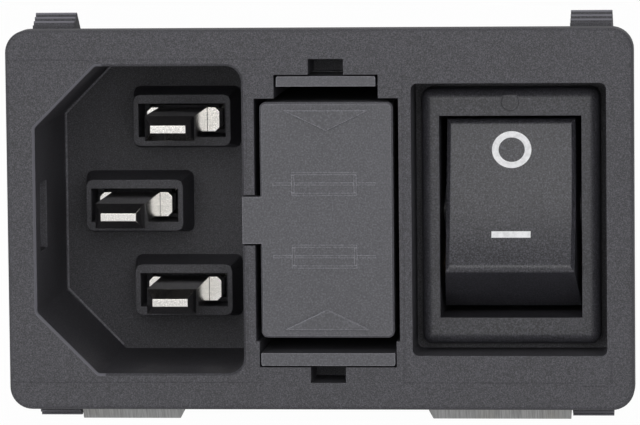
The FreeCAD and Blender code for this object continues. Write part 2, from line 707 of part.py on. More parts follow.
def clip_seat(side):
    """Shallow bed under the body for an earthing clip, and the slot for its tang."""
    left, width, anchor_y = CLIPS[side]
    bed = block(
        (left - CLIP_SEAT_CLEARANCE, left + width + CLIP_SEAT_CLEARANCE),
        (CLIP_BEND_Y - CLIP_BEND_RADIUS - CLIP_THICKNESS, anchor_y + CLIP_SEAT_CLEARANCE),
        (-BODY_TOP - OVERLAP, -BODY_TOP + CLIP_THICKNESS),
    )
    slot = block(
        span(left + width / 2, CLIP_TANG_WIDTH + 2 * CLIP_SEAT_CLEARANCE),
        (anchor_y - CLIP_THICKNESS - CLIP_SEAT_CLEARANCE, anchor_y + CLIP_SEAT_CLEARANCE),
        (-BODY_TOP, -REAR_HALF_HEIGHT + OVERLAP),
    )
    return bed.fuse(slot)


def front_housing():
    """Flange and body in one moulding, with its compartments, collars and snap latches."""
    body = flange().fuse(body_blocks())
    body = body.cut([inlet_cavity(), drawer_shaft(), switch_recess(), rear_hollows()])
    mouth = edges_within(
        body, (CAVITY_LEFT, CAVITY_RIGHT), (FRONT, FRONT), span(0, CAVITY_HEIGHT)
    )
    body = body.makeChamfer(MOUTH_CHAMFER, mouth)
    body = body.fuse([pin_collar(pin) for pin in PINS])
    cuts = [pin_pocket(pin) for pin in PINS]
    cuts += [lock_notch(), pry_notches(), catch_pockets(), key_tab_seat(), link_passage()]
    cuts += [outlet_channel(pole) for pole in FUSE_Z]
    cuts += [clip_seat(side) for side in CLIPS]
    for upside_down in (False, True):
        cuts.append(cover_hook_window(upside_down))
        cuts.append(snap_pocket(upside_down, False))
        cuts.append(snap_pocket(upside_down, True))
    body = body.cut(cuts)
    latches = [snap_latch(down, left) for down in (False, True) for left in (False, True)]
    return fused([body] + latches)


# ---------------------------------------------------------------- rear cover


def tab_slot(x, z, width, thickness):
    """Slot in the cover for a quick-connect tab; width runs along X and thickness along Z."""
    return block(
        span(x, width + 2 * TAB_SLOT_CLEARANCE),
        (COVER_Y, BODY_BACK),
        span(z, thickness + 2 * TAB_SLOT_CLEARANCE),
    )


def cover_hook(upside_down):
    """Leg with a wedge that snaps into the window in the housing's wall."""
    top = REAR_HALF_HEIGHT - COVER_CLEARANCE
    start = COVER_Y - COVER_HOOK_REACH
    wedge_top = top + COVER_HOOK_RISE
    points = [
        (COVER_Y + OVERLAP, top - COVER_HOOK_THICKNESS),
        (start, top - COVER_HOOK_THICKNESS),
        (start, top),
        (start + COVER_HOOK_LENGTH, wedge_top),
        (start + COVER_HOOK_LENGTH, top),
        (COVER_Y + OVERLAP, top),
    ]
    return flipped(prism(points, "x", span(INLET_X, COVER_HOOK_WIDTH)), upside_down)


def rear_cover():
    """Plate that closes the body behind inlet and drawer, with slots for three tabs."""
    half = REAR_HALF_HEIGHT - COVER_CLEARANCE
    plate = block((COVER_LEFT, COVER_RIGHT), (COVER_Y, BODY_BACK), (-half, half))
    plate = plate.fuse([cover_hook(False), cover_hook(True)])
    earth_x, earth_z = PINS["earth"]
    slots = [tab_slot(earth_x, earth_z, TAB_WIDTH, TAB_THICKNESS)]
    for z in FUSE_Z.values():
        slots.append(tab_slot(OUTLET_X - TAB_THICKNESS / 2, z, TAB_THICKNESS, TAB_WIDTH))
    return plate.cut(slots).removeSplitter()


# ---------------------------------------------------------------- pins and fuse contacts


def pin_blade(pin):
    """Contact blade with a bevelled tip, and the wider shoulder that the floor holds."""
    x, z = PINS[pin]
    tip_y = FRONT + PIN_TIP_DEPTH
    if pin == "earth":
        tip_y -= EARTH_PIN_LEAD
    shank = block(span(x, PIN_WIDTH), (tip_y + PIN_TIP_LENGTH, FLOOR_Y), span(z, PIN_THICKNESS))
    tip = pin_tip(x, z, tip_y)
    shoulder = block(
        span(x, PIN_WIDTH + 2 * PIN_SHOULDER_STEP),
        (FLOOR_Y - PIN_SHOULDER_RISE, FLOOR_BACK),
        span(z, PIN_THICKNESS),
    )
    shoulder = shoulder.makeChamfer(PIN_SHOULDER_BEVEL, edges_along(shoulder, Vector(0, 1, 0)))
    back = block(
        span(x, PIN_WIDTH + 2 * (PIN_SHOULDER_STEP + PIN_BACK_STEP)),
        (FLOOR_BACK, PIN_BACK_END),
        span(z, PIN_THICKNESS + 2 * PIN_BACK_STEP),
    )
    return [shank, tip, shoulder, back]


def pin_tip(x, z, tip_y):
    """Tip of a blade, narrowing to a small flat land: what two wedges across each other share."""
    base_y = tip_y + PIN_TIP_LENGTH
    x_low, x_high = span(x, PIN_WIDTH)
    z_low, z_high = span(z, PIN_THICKNESS)
    plan = [
        (x_low, base_y),
        (x_low + PIN_TIP_BEVEL_SIDE, tip_y),
        (x_high - PIN_TIP_BEVEL_SIDE, tip_y),
        (x_high, base_y),
    ]
    profile = [
        (base_y, z_low),
        (tip_y, z_low + PIN_TIP_BEVEL_TOP),
        (tip_y, z_high - PIN_TIP_BEVEL_TOP),
        (base_y, z_high),
    ]
    return prism(plan, "z", (z_low, z_high)).common(prism(profile, "x", (x_low, x_high)))


def live_pin(pin):
    """Line or neutral pin, riveted to its link behind the floor."""
    x, z = PINS[pin]
    rivet_y = LINK_Y + LINK_THICKNESS
    tail = block(span(x, PIN_TAIL_WIDTH), (PIN_BACK_END, rivet_y), span(z, PIN_TAIL_THICKNESS))
    head_radius = PIN_TAIL_WIDTH / 2 + PIN_RIVET_OVERHANG
    head = rod(Vector(x, rivet_y, z), Vector(0, 1, 0), PIN_RIVET_HEAD, head_radius)
    return fused(pin_blade(pin) + [tail, head])


def flat_tab(start_y, end_y, width, thickness):
    """Quick-connect tab on the Y axis, width along X, with a bevelled end and its detent hole."""
    half = width / 2
    points = [
        (-half, start_y),
        (half, start_y),
        (half, end_y - TAB_BEVEL),
        (half - TAB_BEVEL, end_y),
        (-half + TAB_BEVEL, end_y),
        (-half, end_y - TAB_BEVEL),
    ]
    tab = prism(points, "z", span(0, thickness))
    hole = rod(
        Vector(0, end_y - TAB_HOLE_INSET, -thickness), Vector(0, 0, 1), 2 * thickness, TAB_HOLE_RADIUS
    )
    return tab.cut(hole)


def earth_pin():
    """Earth pin, whose tail runs on through the cover as a quick-connect tab."""
    x, z = PINS["earth"]
    tab = flat_tab(PIN_BACK_END, BODY_BACK + TAB_LENGTH, TAB_WIDTH, TAB_THICKNESS)
    tab.translate(Vector(x, 0, z))
    return fused(pin_blade("earth") + [tab])


def fuse_link(pole):
    """Flat link from a pin's tail to the rear end of its fuse, with a raised contact pad."""
    pin_x, pin_z = PINS[pole]
    fuse_z = FUSE_Z[pole]
    run = Vector(FUSE_X - pin_x, 0, fuse_z - pin_z)
    side = Vector(run.z, 0, -run.x).normalize() * (LINK_WIDTH / 2)
    start = Vector(pin_x, LINK_Y, pin_z)
    end = Vector(FUSE_X, LINK_Y, fuse_z)
    corners = [start + side, end + side, end - side, start - side]
    strip = Part.Face(Part.makePolygon(corners + corners[:1])).extrude(Vector(0, LINK_THICKNESS, 0))
    back = Vector(0, 1, 0)
    round_ends = [rod(point, back, LINK_THICKNESS, LINK_WIDTH / 2) for point in (start, end)]
    pad_top = FUSE_BACK + CONTACT_GAP
    pad = Part.makeCone(
        LINK_PAD_RADIUS,
        LINK_PAD_RADIUS + LINK_PAD_RISE,
        LINK_Y - pad_top,
        Vector(FUSE_X, pad_top, fuse_z),
        back,
    )
    hole = block(
        span(pin_x, PIN_TAIL_WIDTH + 2 * PIN_SEAT_CLEARANCE),
        (LINK_Y - OVERLAP, LINK_Y + LINK_THICKNESS + OVERLAP),
        span(pin_z, PIN_TAIL_THICKNESS + 2 * PIN_SEAT_CLEARANCE),
    )
    return fused([strip, pad] + round_ends).cut(hole)


def outlet_contact(pole):
    """Spring that wipes the front cap of a fuse, folded double at the rear into a tab."""
    z = FUSE_Z[pole]
    touch_x = FUSE_X + FUSE_CAP_RADIUS + CONTACT_GAP
    strip_x = OUTLET_X - OUTLET_THICKNESS
    path = [
        (touch_x + OUTLET_TIP_FLARE, OUTLET_CONTACT_Y - OUTLET_TIP_LENGTH),
        (touch_x, OUTLET_CONTACT_Y),
        (strip_x, OUTLET_BOW_START),
        (strip_x, BODY_BACK),
    ]
    spring = prism(strip_outline(path[::-1], OUTLET_THICKNESS), "z", span(z, OUTLET_WIDTH))
    tab = flat_tab(COVER_Y + COVER_CLEARANCE, BODY_BACK + TAB_LENGTH, TAB_WIDTH, TAB_THICKNESS)
    tab.rotate(Vector(0, 0, 0), Vector(0, 1, 0), 90)
    tab.translate(Vector(OUTLET_X - TAB_THICKNESS / 2, 0, z))
    return fused([spring, tab])


# ---------------------------------------------------------------- fuse drawer and fuses


def drawer_face():
    """Front plate of the drawer, flush with the flange."""
    plate = rounded_block(
        span(DRAWER_X, SHAFT_WIDTH - 2 * DRAWER_SIDE_GAP),
        (FRONT, 0),
        (-DRAWER_HALF_HEIGHT, DRAWER_HALF_HEIGHT),
        DRAWER_CORNER_RADIUS,
    )
    front_edges = edges_within(plate, (SHAFT_LEFT, SHAFT_RIGHT), (FRONT, FRONT), span(0, SHAFT_HEIGHT))
    return plate.makeChamfer(DRAWER_FACE_BEVEL, front_edges)


def key_tab():
    """Tab beside the drawer's face, which a plugged-in connector covers and so locks in."""
    face_left = SHAFT_LEFT + DRAWER_SIDE_GAP
    return block(
        (SHAFT_LEFT - KEY_TAB_WIDTH, face_left + DRAWER_CORNER_RADIUS),
        (FRONT, FRONT + KEY_TAB_THICKNESS),
        span(0, KEY_TAB_HEIGHT),
    )


def arrow(upside_down):
    """Raised triangle near one end of the face, pointing to the middle."""
    base_z = DRAWER_HALF_HEIGHT - ARROW_INSET
    points = [
        (DRAWER_X - ARROW_WIDTH / 2, base_z),
        (DRAWER_X, base_z - ARROW_HEIGHT),
        (DRAWER_X + ARROW_WIDTH / 2, base_z),
    ]
    return flipped(prism(points, "y", (FRONT - ARROW_RELIEF, FRONT + OVERLAP)), upside_down)


def spring_arm(width, thickness, upside_down):
    """Arm rooted at the drawer's rear, with a catch behind the free end that shows beside the face."""
    low = DRAWER_HALF_HEIGHT + ARM_GAP
    high = low + thickness
    catch_end = ARM_CATCH_START + ARM_CATCH_LENGTH
    root_y = CARRIER_BACK - ARM_ROOT_LENGTH
    root_z = DRAWER_HALF_HEIGHT - 2 * CARRIER_INSET
    points = [
        (FRONT, low),
        (FRONT, high),
        (ARM_CATCH_START, high),
        (ARM_CATCH_START, high + ARM_CATCH_RISE),
        (catch_end, high),
        (CARRIER_BACK, high),
        (CARRIER_BACK, root_z),
        (root_y, root_z),
        (root_y, low),
    ]
    arm = prism(points, "x", span(DRAWER_X, width))
    envelope = rounded_block(
        span(DRAWER_X, width),
        (FRONT, CARRIER_BACK),
        (root_z - 2 * ARM_CORNER_RADIUS, high + ARM_CATCH_RISE),
        ARM_CORNER_RADIUS,
    )
    return flipped(arm.common(envelope), upside_down)


def fuse_channel(pole):
    """Trough for one fuse, round at the bottom, open to the right, with a hole for the link's pad."""
    z = FUSE_Z[pole]
    along = Vector(0, 1, 0)
    trough = rod(Vector(FUSE_X, 0, z), along, FUSE_BACK, CHANNEL_RADIUS)
    mouth = block((FUSE_X, SHAFT_RIGHT), (0, CARRIER_BACK), span(z, 2 * CHANNEL_RADIUS))
    pad_hole = rod(
        Vector(FUSE_X, FUSE_BACK, z), along, CARRIER_LIP, LINK_PAD_RADIUS + LINK_PAD_RISE + PAD_CLEARANCE
    )
    return trough.fuse([mouth, pad_hole])


def fuse_drawer():
    """Face, fuse carrier, key tab and two spring arms in one moulding."""
    carrier = block(
        span(DRAWER_X, SHAFT_WIDTH - 2 * (DRAWER_SIDE_GAP + CARRIER_INSET)),
        (-OVERLAP, CARRIER_BACK),
        span(0, 2 * (DRAWER_HALF_HEIGHT - CARRIER_INSET)),
    )
    carrier = carrier.cut([fuse_channel(pole) for pole in FUSE_Z])
    arms = [
        spring_arm(UPPER_ARM_WIDTH, UPPER_ARM_THICKNESS, False),
        spring_arm(LOWER_ARM_WIDTH, LOWER_ARM_THICKNESS, True),
    ]
    return fused([drawer_face(), carrier, key_tab(), arrow(False), arrow(True)] + arms)


def fuse_axis_point(pole, y):
    """Point on a fuse's axis."""
    return Vector(FUSE_X, y, FUSE_Z[pole])


def fuse_cap(pole, at_rear):
    """Cup pressed over one end of the glass."""
    along = Vector(0, 1, 0)
    start = FUSE_BACK - FUSE_CAP_LENGTH if at_rear else FUSE_FRONT_GAP
    cup = rod(fuse_axis_point(pole, start), along, FUSE_CAP_LENGTH, FUSE_CAP_RADIUS)
    bore_start = start if at_rear else start + FUSE_CAP_WALL
    bore = rod(
        fuse_axis_point(pole, bore_start),
        along,
        FUSE_CAP_LENGTH - FUSE_CAP_WALL,
        FUSE_TUBE_RADIUS + FUSE_TUBE_CLEARANCE,
    )
    return cup.cut(bore)


def fuse_tube(pole):
    """Glass tube between the caps."""
    along = Vector(0, 1, 0)
    start = fuse_axis_point(pole, FUSE_FRONT_GAP + FUSE_CAP_WALL)
    length = FUSE_LENGTH - 2 * FUSE_CAP_WALL
    outside = rod(start, along, length, FUSE_TUBE_RADIUS)
    return outside.cut(rod(start, along, length, FUSE_TUBE_RADIUS - FUSE_TUBE_WALL))


def fuse_wire(pole):
    """Wire that melts, from cap to cap on the tube's axis."""
    start = fuse_axis_point(pole, FUSE_FRONT_GAP + FUSE_CAP_WALL)
    section = Part.Face(wire_section(start, Vector(0, 0, 1), FUSE_WIRE))
    return section.extrude(Vector(0, FUSE_LENGTH - 2 * FUSE_CAP_WALL, 0))


# ---------------------------------------------------------------- earthing clips


def earthing_clip(side):
    """Bent spring strip: tang, bed, flare beyond the flange edge and a lip turned back to it."""
    left, width, anchor_y = CLIPS[side]
    bed_z = -BODY_TOP + CLIP_THICKNESS
    tip_z = -BODY_TOP - CLIP_REACH
    path = [
        (anchor_y, bed_z),
        (CLIP_BEND_Y, bed_z),
        (CLIP_TIP_Y, tip_z + CLIP_THICKNESS),
        (CLIP_LIP_Y, tip_z + CLIP_LIP_HEIGHT),
    ]
    strip = prism(strip_outline(path, CLIP_THICKNESS), "x", (left, left + width))
    bends = []
    for edge in edges_along(strip, Vector(1, 0, 0)):
        centre = edge.CenterOfMass
        at_bend = min(abs(centre.y - CLIP_BEND_Y), abs(centre.y - CLIP_TIP_Y)) < 2 * CLIP_THICKNESS
        if at_bend:
            bends.append(edge)
    strip = strip.makeFillet(CLIP_BEND_RADIUS, bends)
    corner_x, inward = (left + width, -1) if side == "left" else (left, 1)
    trim = prism(
        [
            (corner_x, tip_z - OVERLAP),
            (corner_x, tip_z + 2 * CLIP_END_SLANT),
            (corner_x + inward * CLIP_END_SLANT, tip_z - OVERLAP),
        ],
        "y",
        (CLIP_LIP_Y - CLIP_THICKNESS - OVERLAP, CLIP_BEND_Y),
    )
    tang = block(
        span(left + width / 2, CLIP_TANG_WIDTH),
        (anchor_y - CLIP_THICKNESS, anchor_y),
        (bed_z - CLIP_THICKNESS, bed_z - CLIP_THICKNESS + CLIP_TANG_HEIGHT),
    )
    return fused([strip.cut(trim), tang])


# ---------------------------------------------------------------- switch case


def case_shell():
    """Bezel and case in one, hollow from the aperture to the back wall."""
    bezel = rounded_block(
        span(SWITCH_X, BEZEL_WIDTH), (BEZEL_FACE, RECESS_FLOOR), span(0, BEZEL_HEIGHT), BEZEL_CORNER_RADIUS
    )
    front_edges = edges_within(
        bezel, (RECESS_LEFT, RECESS_RIGHT), (BEZEL_FACE, BEZEL_FACE), span(0, RECESS_HEIGHT)
    )
    bezel = bezel.makeFillet(BEZEL_EDGE_RADIUS, front_edges)
    case = block(span(SWITCH_X, CASE_WIDTH), (RECESS_FLOOR, CASE_BACK), span(0, CASE_HEIGHT))
    hollow = block(span(SWITCH_X, APERTURE_WIDTH), (BEZEL_FACE, CASE_FLOOR), span(0, APERTURE_HEIGHT))
    mark = rod(
        Vector(SWITCH_X, BEZEL_FACE, (BEZEL_HEIGHT + APERTURE_HEIGHT) / 4),
        Vector(0, 1, 0),
        EJECTOR_MARK_DEPTH,
        EJECTOR_MARK_RADIUS,
    )
    return bezel.fuse(case).cut([hollow, mark])


def case_barb(upside_down):
    """Wedge on the case's end wall that holds the switch behind the recess floor."""
    wall = CASE_HEIGHT / 2
    points = [
        (PAN_BACK + CASE_CLEARANCE, wall - OVERLAP),
        (PAN_BACK + CASE_CLEARANCE, wall + CASE_BARB_RISE),
        (PAN_BACK + CASE_CLEARANCE + CASE_BARB_LENGTH, wall),
        (PAN_BACK + CASE_CLEARANCE + CASE_BARB_LENGTH, wall - OVERLAP),
    ]
    return flipped(prism(points, "x", span(SWITCH_X, CASE_BARB_WIDTH)), upside_down)


def rest_post(pole):
    """Post that the bridge's idle arm rests against while the switch is off."""
    top = BRIDGE_Y + CONTACT_REACH * math.tan(CLOSED_SLOPE) + REST_POST_GAP
    return block(
        span(POLES[pole], BRIDGE_WIDTH), (top, CASE_FLOOR + OVERLAP), span(-CONTACT_REACH, REST_POST_WIDTH)
    )


def terminal_slot(pole, z):
    """Slot in the case's back wall for a terminal."""
    return block(
        span(POLES[pole], SWITCH_TAB_WIDTH + 2 * PIN_SEAT_CLEARANCE),
        (CASE_FLOOR, CASE_BACK),
        span(z, TAB_THICKNESS + 2 * PIN_SEAT_CLEARANCE),
    )


def trunnion(pole_sign, reach, radius):
    """Stub on the rocker's pivot axis, from the cheek into the case wall."""
    inner = APERTURE_WIDTH / 2 - ROCKER_SIDE_GAP - TRUNNION_ROOT
    outer = APERTURE_WIDTH / 2 + reach
    start = Vector(SWITCH_X + pole_sign * inner, PIVOT_Y, 0)
    return rod(start, Vector(pole_sign, 0, 0), outer - inner, radius)


def switch_case():
    """Switch case with its pivot holes, divider, rest posts and terminal slots."""
    swing = SKIRT_RADIUS * math.sin(math.radians(ROCKER_THROW / 2))
    divider = block(
        span(SWITCH_X, CASE_DIVIDER),
        (PIVOT_Y + swing + CASE_DIVIDER_GAP, CASE_FLOOR + OVERLAP),
        span(0, APERTURE_HEIGHT + 2 * OVERLAP),
    )
    parts = [case_shell(), divider, case_barb(False), case_barb(True)]
    parts += [rest_post(pole) for pole in POLES]
    cuts = [
        trunnion(sign, TRUNNION_DEPTH + TRUNNION_CLEARANCE, TRUNNION_RADIUS + TRUNNION_CLEARANCE)
        for sign in (-1, 1)
    ]
    for pole in POLES:
        cuts.append(terminal_slot(pole, 0.0))
        cuts.append(terminal_slot(pole, LOAD_TERMINAL_Z))
    return fused(parts).cut(cuts)


# ---------------------------------------------------------------- rocker and its plungers


def rocker_outline():
    """Y-Z corners at mid-throw: the face's ridge and the skirt's edge, upper half."""
    corner_z = math.sqrt(SKIRT_RADIUS**2 - ROCKER_SKIRT**2)
    lean = math.tan(math.radians(ROCKER_END_LEAN))
    ridge_z = corner_z - lean * (ROCKER_HEIGHT - ROCKER_SKIRT)
    ridge_y = PIVOT_Y - ROCKER_HEIGHT
    corner_y = PIVOT_Y - ROCKER_SKIRT
    return ridge_z, ridge_y, corner_z, corner_y


def rocker_bulk():
    """Solid rocker at mid-throw, with side walls that taper towards the face."""
    ridge_z, ridge_y, corner_z, corner_y = rocker_outline()
    x_low, x_high = span(SWITCH_X, APERTURE_WIDTH - 2 * ROCKER_SIDE_GAP)

    def point(y, z):
        return Vector(x_low, y, z)

    upper_ridge = point(ridge_y, ridge_z)
    dish = point(ridge_y + ROCKER_DISH, 0)
    lower_ridge = point(ridge_y, -ridge_z)
    edges = [
        Part.Arc(upper_ridge, dish, lower_ridge).toShape(),
        Part.makeLine(lower_ridge, point(corner_y, -corner_z)),
        Part.makeLine(point(corner_y, -corner_z), point(corner_y, corner_z)),
        Part.makeLine(point(corner_y, corner_z), upper_ridge),
    ]
    bulk = Part.Face(Part.Wire(edges)).extrude(Vector(x_high - x_low, 0, 0))
    taper = prism(
        [
            (x_low, corner_y + OVERLAP),
            (x_low + ROCKER_SIDE_TAPER, ridge_y - OVERLAP),
            (x_high - ROCKER_SIDE_TAPER, ridge_y - OVERLAP),
            (x_high, corner_y + OVERLAP),
        ],
        "z",
        (-corner_z - OVERLAP, corner_z + OVERLAP),
    )
    bulk = bulk.common(taper)
    face_edges = edges_within(
        bulk, (x_low, x_high), (ridge_y, ridge_y + ROCKER_DISH), (-ridge_z, ridge_z)
    )
    sides = [edge for edge in face_edges if edge.BoundBox.XLength < ROCKER_SIDE_TAPER]
    bulk = bulk.makeChamfer(ROCKER_SIDE_BEVEL, sides)
    ridges = [edge for edge in edges_along(bulk, Vector(1, 0, 0)) if edge.CenterOfMass.y < ridge_y + SLACK]
    return bulk.makeFillet(ROCKER_RIDGE_RADIUS, ridges)


def rocker_hollow():
    """Space under the rocker's face, a wall's thickness inside its outline."""
    ridge_z, ridge_y, corner_z, corner_y = rocker_outline()
    roof_y = ridge_y + ROCKER_DISH + ROCKER_WALL
    lean = (corner_z - ridge_z) / (corner_y - ridge_y)
    roof_z = ridge_z + lean * (roof_y - ridge_y) - ROCKER_WALL
    points = [
        (roof_y, roof_z),
        (roof_y, -roof_z),
        (corner_y + OVERLAP, -corner_z + ROCKER_WALL),
        (corner_y + OVERLAP, corner_z - ROCKER_WALL),
    ]
    return prism(points, "x", span(SWITCH_X, APERTURE_WIDTH - 2 * (ROCKER_SIDE_GAP + ROCKER_WALL)))


def rocker_cheek(sign):
    """Side cheek that carries a trunnion below the skirt."""
    radius = TRUNNION_RADIUS + TRUNNION_LOBE
    outer = APERTURE_WIDTH / 2 - ROCKER_SIDE_GAP
    inner = outer - ROCKER_WALL
    low, high = sorted((SWITCH_X + sign * inner, SWITCH_X + sign * outer))
    lobe = rod(Vector(low, PIVOT_Y, 0), Vector(1, 0, 0), high - low, radius)
    web = block((low, high), (PIVOT_Y - ROCKER_SKIRT - OVERLAP, PIVOT_Y), (-radius, radius))
    return lobe.fuse(web)


def rocker():
    """Rocker with its trunnions and the two barrels that guide the plungers."""
    ridge_y = rocker_outline()[1]
    roof_y = ridge_y + ROCKER_DISH + ROCKER_WALL
    along = Vector(0, 1, 0)
    barrels = []
    bores = []
    for x in POLES.values():
        barrels.append(
            rod(
                Vector(x, roof_y - OVERLAP, 0),
                along,
                PIVOT_Y + BARREL_REACH - roof_y + OVERLAP,
                BARREL_RADIUS,
            )
        )
        bores.append(
            rod(
                Vector(x, PIVOT_Y - BORE_TOP, 0),
                along,
                BORE_TOP + BARREL_REACH,
                PLUNGER_RADIUS + PLUNGER_CLEARANCE,
            )
        )
    parts = [rocker_bulk().cut(rocker_hollow())] + barrels
    for sign in (-1, 1):
        parts.append(rocker_cheek(sign))
        parts.append(trunnion(sign, TRUNNION_DEPTH, TRUNNION_RADIUS))
    return fused(parts).cut(bores)


def plunger(pole):
    """Plunger with a chamfered nose that slides in a barrel and presses on the bridge."""
    tip_y = PIVOT_Y + PLUNGER_TIP
    back = Vector(POLES[pole], tip_y - PLUNGER_LENGTH, 0)
    shank = rod(back, Vector(0, 1, 0), PLUNGER_LENGTH, PLUNGER_RADIUS)
    nose = [edge for edge in shank.Edges if edge.BoundBox.YMin > tip_y - SLACK]
    return shank.makeChamfer(PLUNGER_NOSE, nose)


def plunger_spring(pole):
    """Coil spring between the bore's end and the plunger, lofted from step to step round its turns."""
    start_y = PIVOT_Y - BORE_TOP + SPRING_WIRE / 2
    end_y = PIVOT_Y + PLUNGER_TIP - PLUNGER_LENGTH - SPRING_WIRE / 2
    along = Vector(0, 1, 0)
    steps = SPRING_TURNS * SPRING_STEPS
    sections = []
    for step in range(steps + 1):
        section = wire_section(Vector(PLUNGER_RADIUS - SPRING_WIRE / 2, 0, 0), along, SPRING_WIRE)
        section.rotate(Vector(0, 0, 0), along, math.degrees(2 * math.pi * step / SPRING_STEPS))
        section.translate(Vector(POLES[pole], start_y + (end_y - start_y) * step / steps, 0))
        sections.append(section)
    return Part.makeLoft(sections, True, True)


# ---------------------------------------------------------------- switch contacts


def contact_bridge(pole):
    """See-saw strip, bent at its pivot, with the moving contact on its upper arm."""
    half_throw = BRIDGE_THROW / 2
    arms = []
    for sign in (1, -1):
        arm = block(
            span(POLES[pole], BRIDGE_WIDTH), (BRIDGE_Y - BRIDGE_THICKNESS, BRIDGE_Y), (0, BRIDGE_ARM)
        )
        if sign > 0:
            button = rod(
                Vector(POLES[pole], BRIDGE_Y, CONTACT_REACH),
                Vector(0, 1, 0),
                CONTACT_HEIGHT,
                CONTACT_RADIUS,
            )
            arm = arm.fuse(button)
        arm = about_pivot(arm, BRIDGE_BEND, BRIDGE_Y)
        arms.append(flipped(arm, sign < 0))
    return about_pivot(fused(arms), half_throw, BRIDGE_Y)


def common_terminal(pole):
    """Terminal under the bridge's pivot: a knife edge inside, a tab outside."""
    land_y = BRIDGE_Y + SADDLE_GAP
    half = TAB_THICKNESS / 2
    points = [
        (land_y, -SADDLE_LAND / 2),
        (land_y + SADDLE_SLOPE, -half),
        (CASE_BACK, -half),
        (CASE_BACK, half),
        (land_y + SADDLE_SLOPE, half),
        (land_y, SADDLE_LAND / 2),
    ]
    stem = prism(points, "x", span(POLES[pole], BRIDGE_WIDTH))
    tab = flat_tab(CASE_FLOOR, CASE_BACK + SWITCH_TAB_LENGTH, SWITCH_TAB_WIDTH, TAB_THICKNESS)
    tab.translate(Vector(POLES[pole], 0, 0))
    return fused([stem, tab])


def load_terminal(pole):
    """Terminal with a shelf that carries the fixed contact."""
    x = POLES[pole]
    z = LOAD_TERMINAL_Z
    shelf = block(
        span(x, BRIDGE_WIDTH),
        (SHELF_Y, SHELF_Y + TAB_THICKNESS),
        (CONTACT_REACH - CONTACT_RADIUS, z + TAB_THICKNESS / 2),
    )
    stem = block(span(x, BRIDGE_WIDTH), (SHELF_Y, CASE_BACK), span(z, TAB_THICKNESS))
    button = rod(
        Vector(x, FIXED_CONTACT_Y, CONTACT_REACH), Vector(0, 1, 0), CONTACT_HEIGHT, CONTACT_RADIUS
    )
    tab = flat_tab(CASE_FLOOR, CASE_BACK + SWITCH_TAB_LENGTH, SWITCH_TAB_WIDTH, TAB_THICKNESS)
    tab.translate(Vector(x, 0, z))
    return fused([shelf, stem, button, tab])


# ---------------------------------------------------------------- the whole module


def build():
    """Every sub-part by node name, with the switch off and the drawer in."""
    off = -ROCKER_THROW / 2
    nodes = {
        "front_housing": front_housing(),
        "rear_cover": rear_cover(),
        "line_pin": live_pin("line"),
        "neutral_pin": live_pin("neutral"),
        "earth_pin": earth_pin(),
        "fuse_drawer": fuse_drawer(),
        "switch_case": switch_case(),
        "rocker": about_pivot(rocker(), off, PIVOT_Y),
    }
    for pole in FUSE_Z:
        nodes[f"{pole}_fuse_link"] = fuse_link(pole)
        nodes[f"{pole}_outlet_contact"] = outlet_contact(pole)
        nodes[f"{pole}_fuse_tube"] = fuse_tube(pole)
        nodes[f"{pole}_fuse_wire"] = fuse_wire(pole)
        nodes[f"{pole}_fuse_front_cap"] = fuse_cap(pole, False)
        nodes[f"{pole}_fuse_rear_cap"] = fuse_cap(pole, True)
    for pole in POLES:
        nodes[f"{pole}_plunger"] = about_pivot(plunger(pole), off, PIVOT_Y)
        nodes[f"{pole}_plunger_spring"] = about_pivot(plunger_spring(pole), off, PIVOT_Y)
        nodes[f"{pole}_contact_bridge"] = contact_bridge(pole)
        nodes[f"{pole}_common_terminal"] = common_terminal(pole)
        nodes[f"{pole}_load_terminal"] = load_terminal(pole)
    for side in CLIPS:
        nodes[f"{side}_earthing_clip"] = earthing_clip(side)
    return nodes


os.makedirs("parts", exist_ok=True)
for name, shape in build().items():
    shape.exportStep(f"parts/{name}.step")
    print(f"{name}: {len(shape.Solids)} solid, valid {shape.isValid()}, {shape.Volume:.2f} mm3")
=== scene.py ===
"""Looks for a panel power inlet module: finishes, moulded and printed marks, stage, lights and camera.

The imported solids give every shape, size and place. This file dresses them, adds the few surface
details that have no part in the construction, and sets up the view.
"""

from __future__ import annotations

import json
import logging
import math
from dataclasses import dataclass, field
from enum import Enum
from typing import Any, Callable, ClassVar, Iterable, Sequence

import bmesh
import bpy
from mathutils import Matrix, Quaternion, Vector
from mathutils.bvhtree import BVHTree

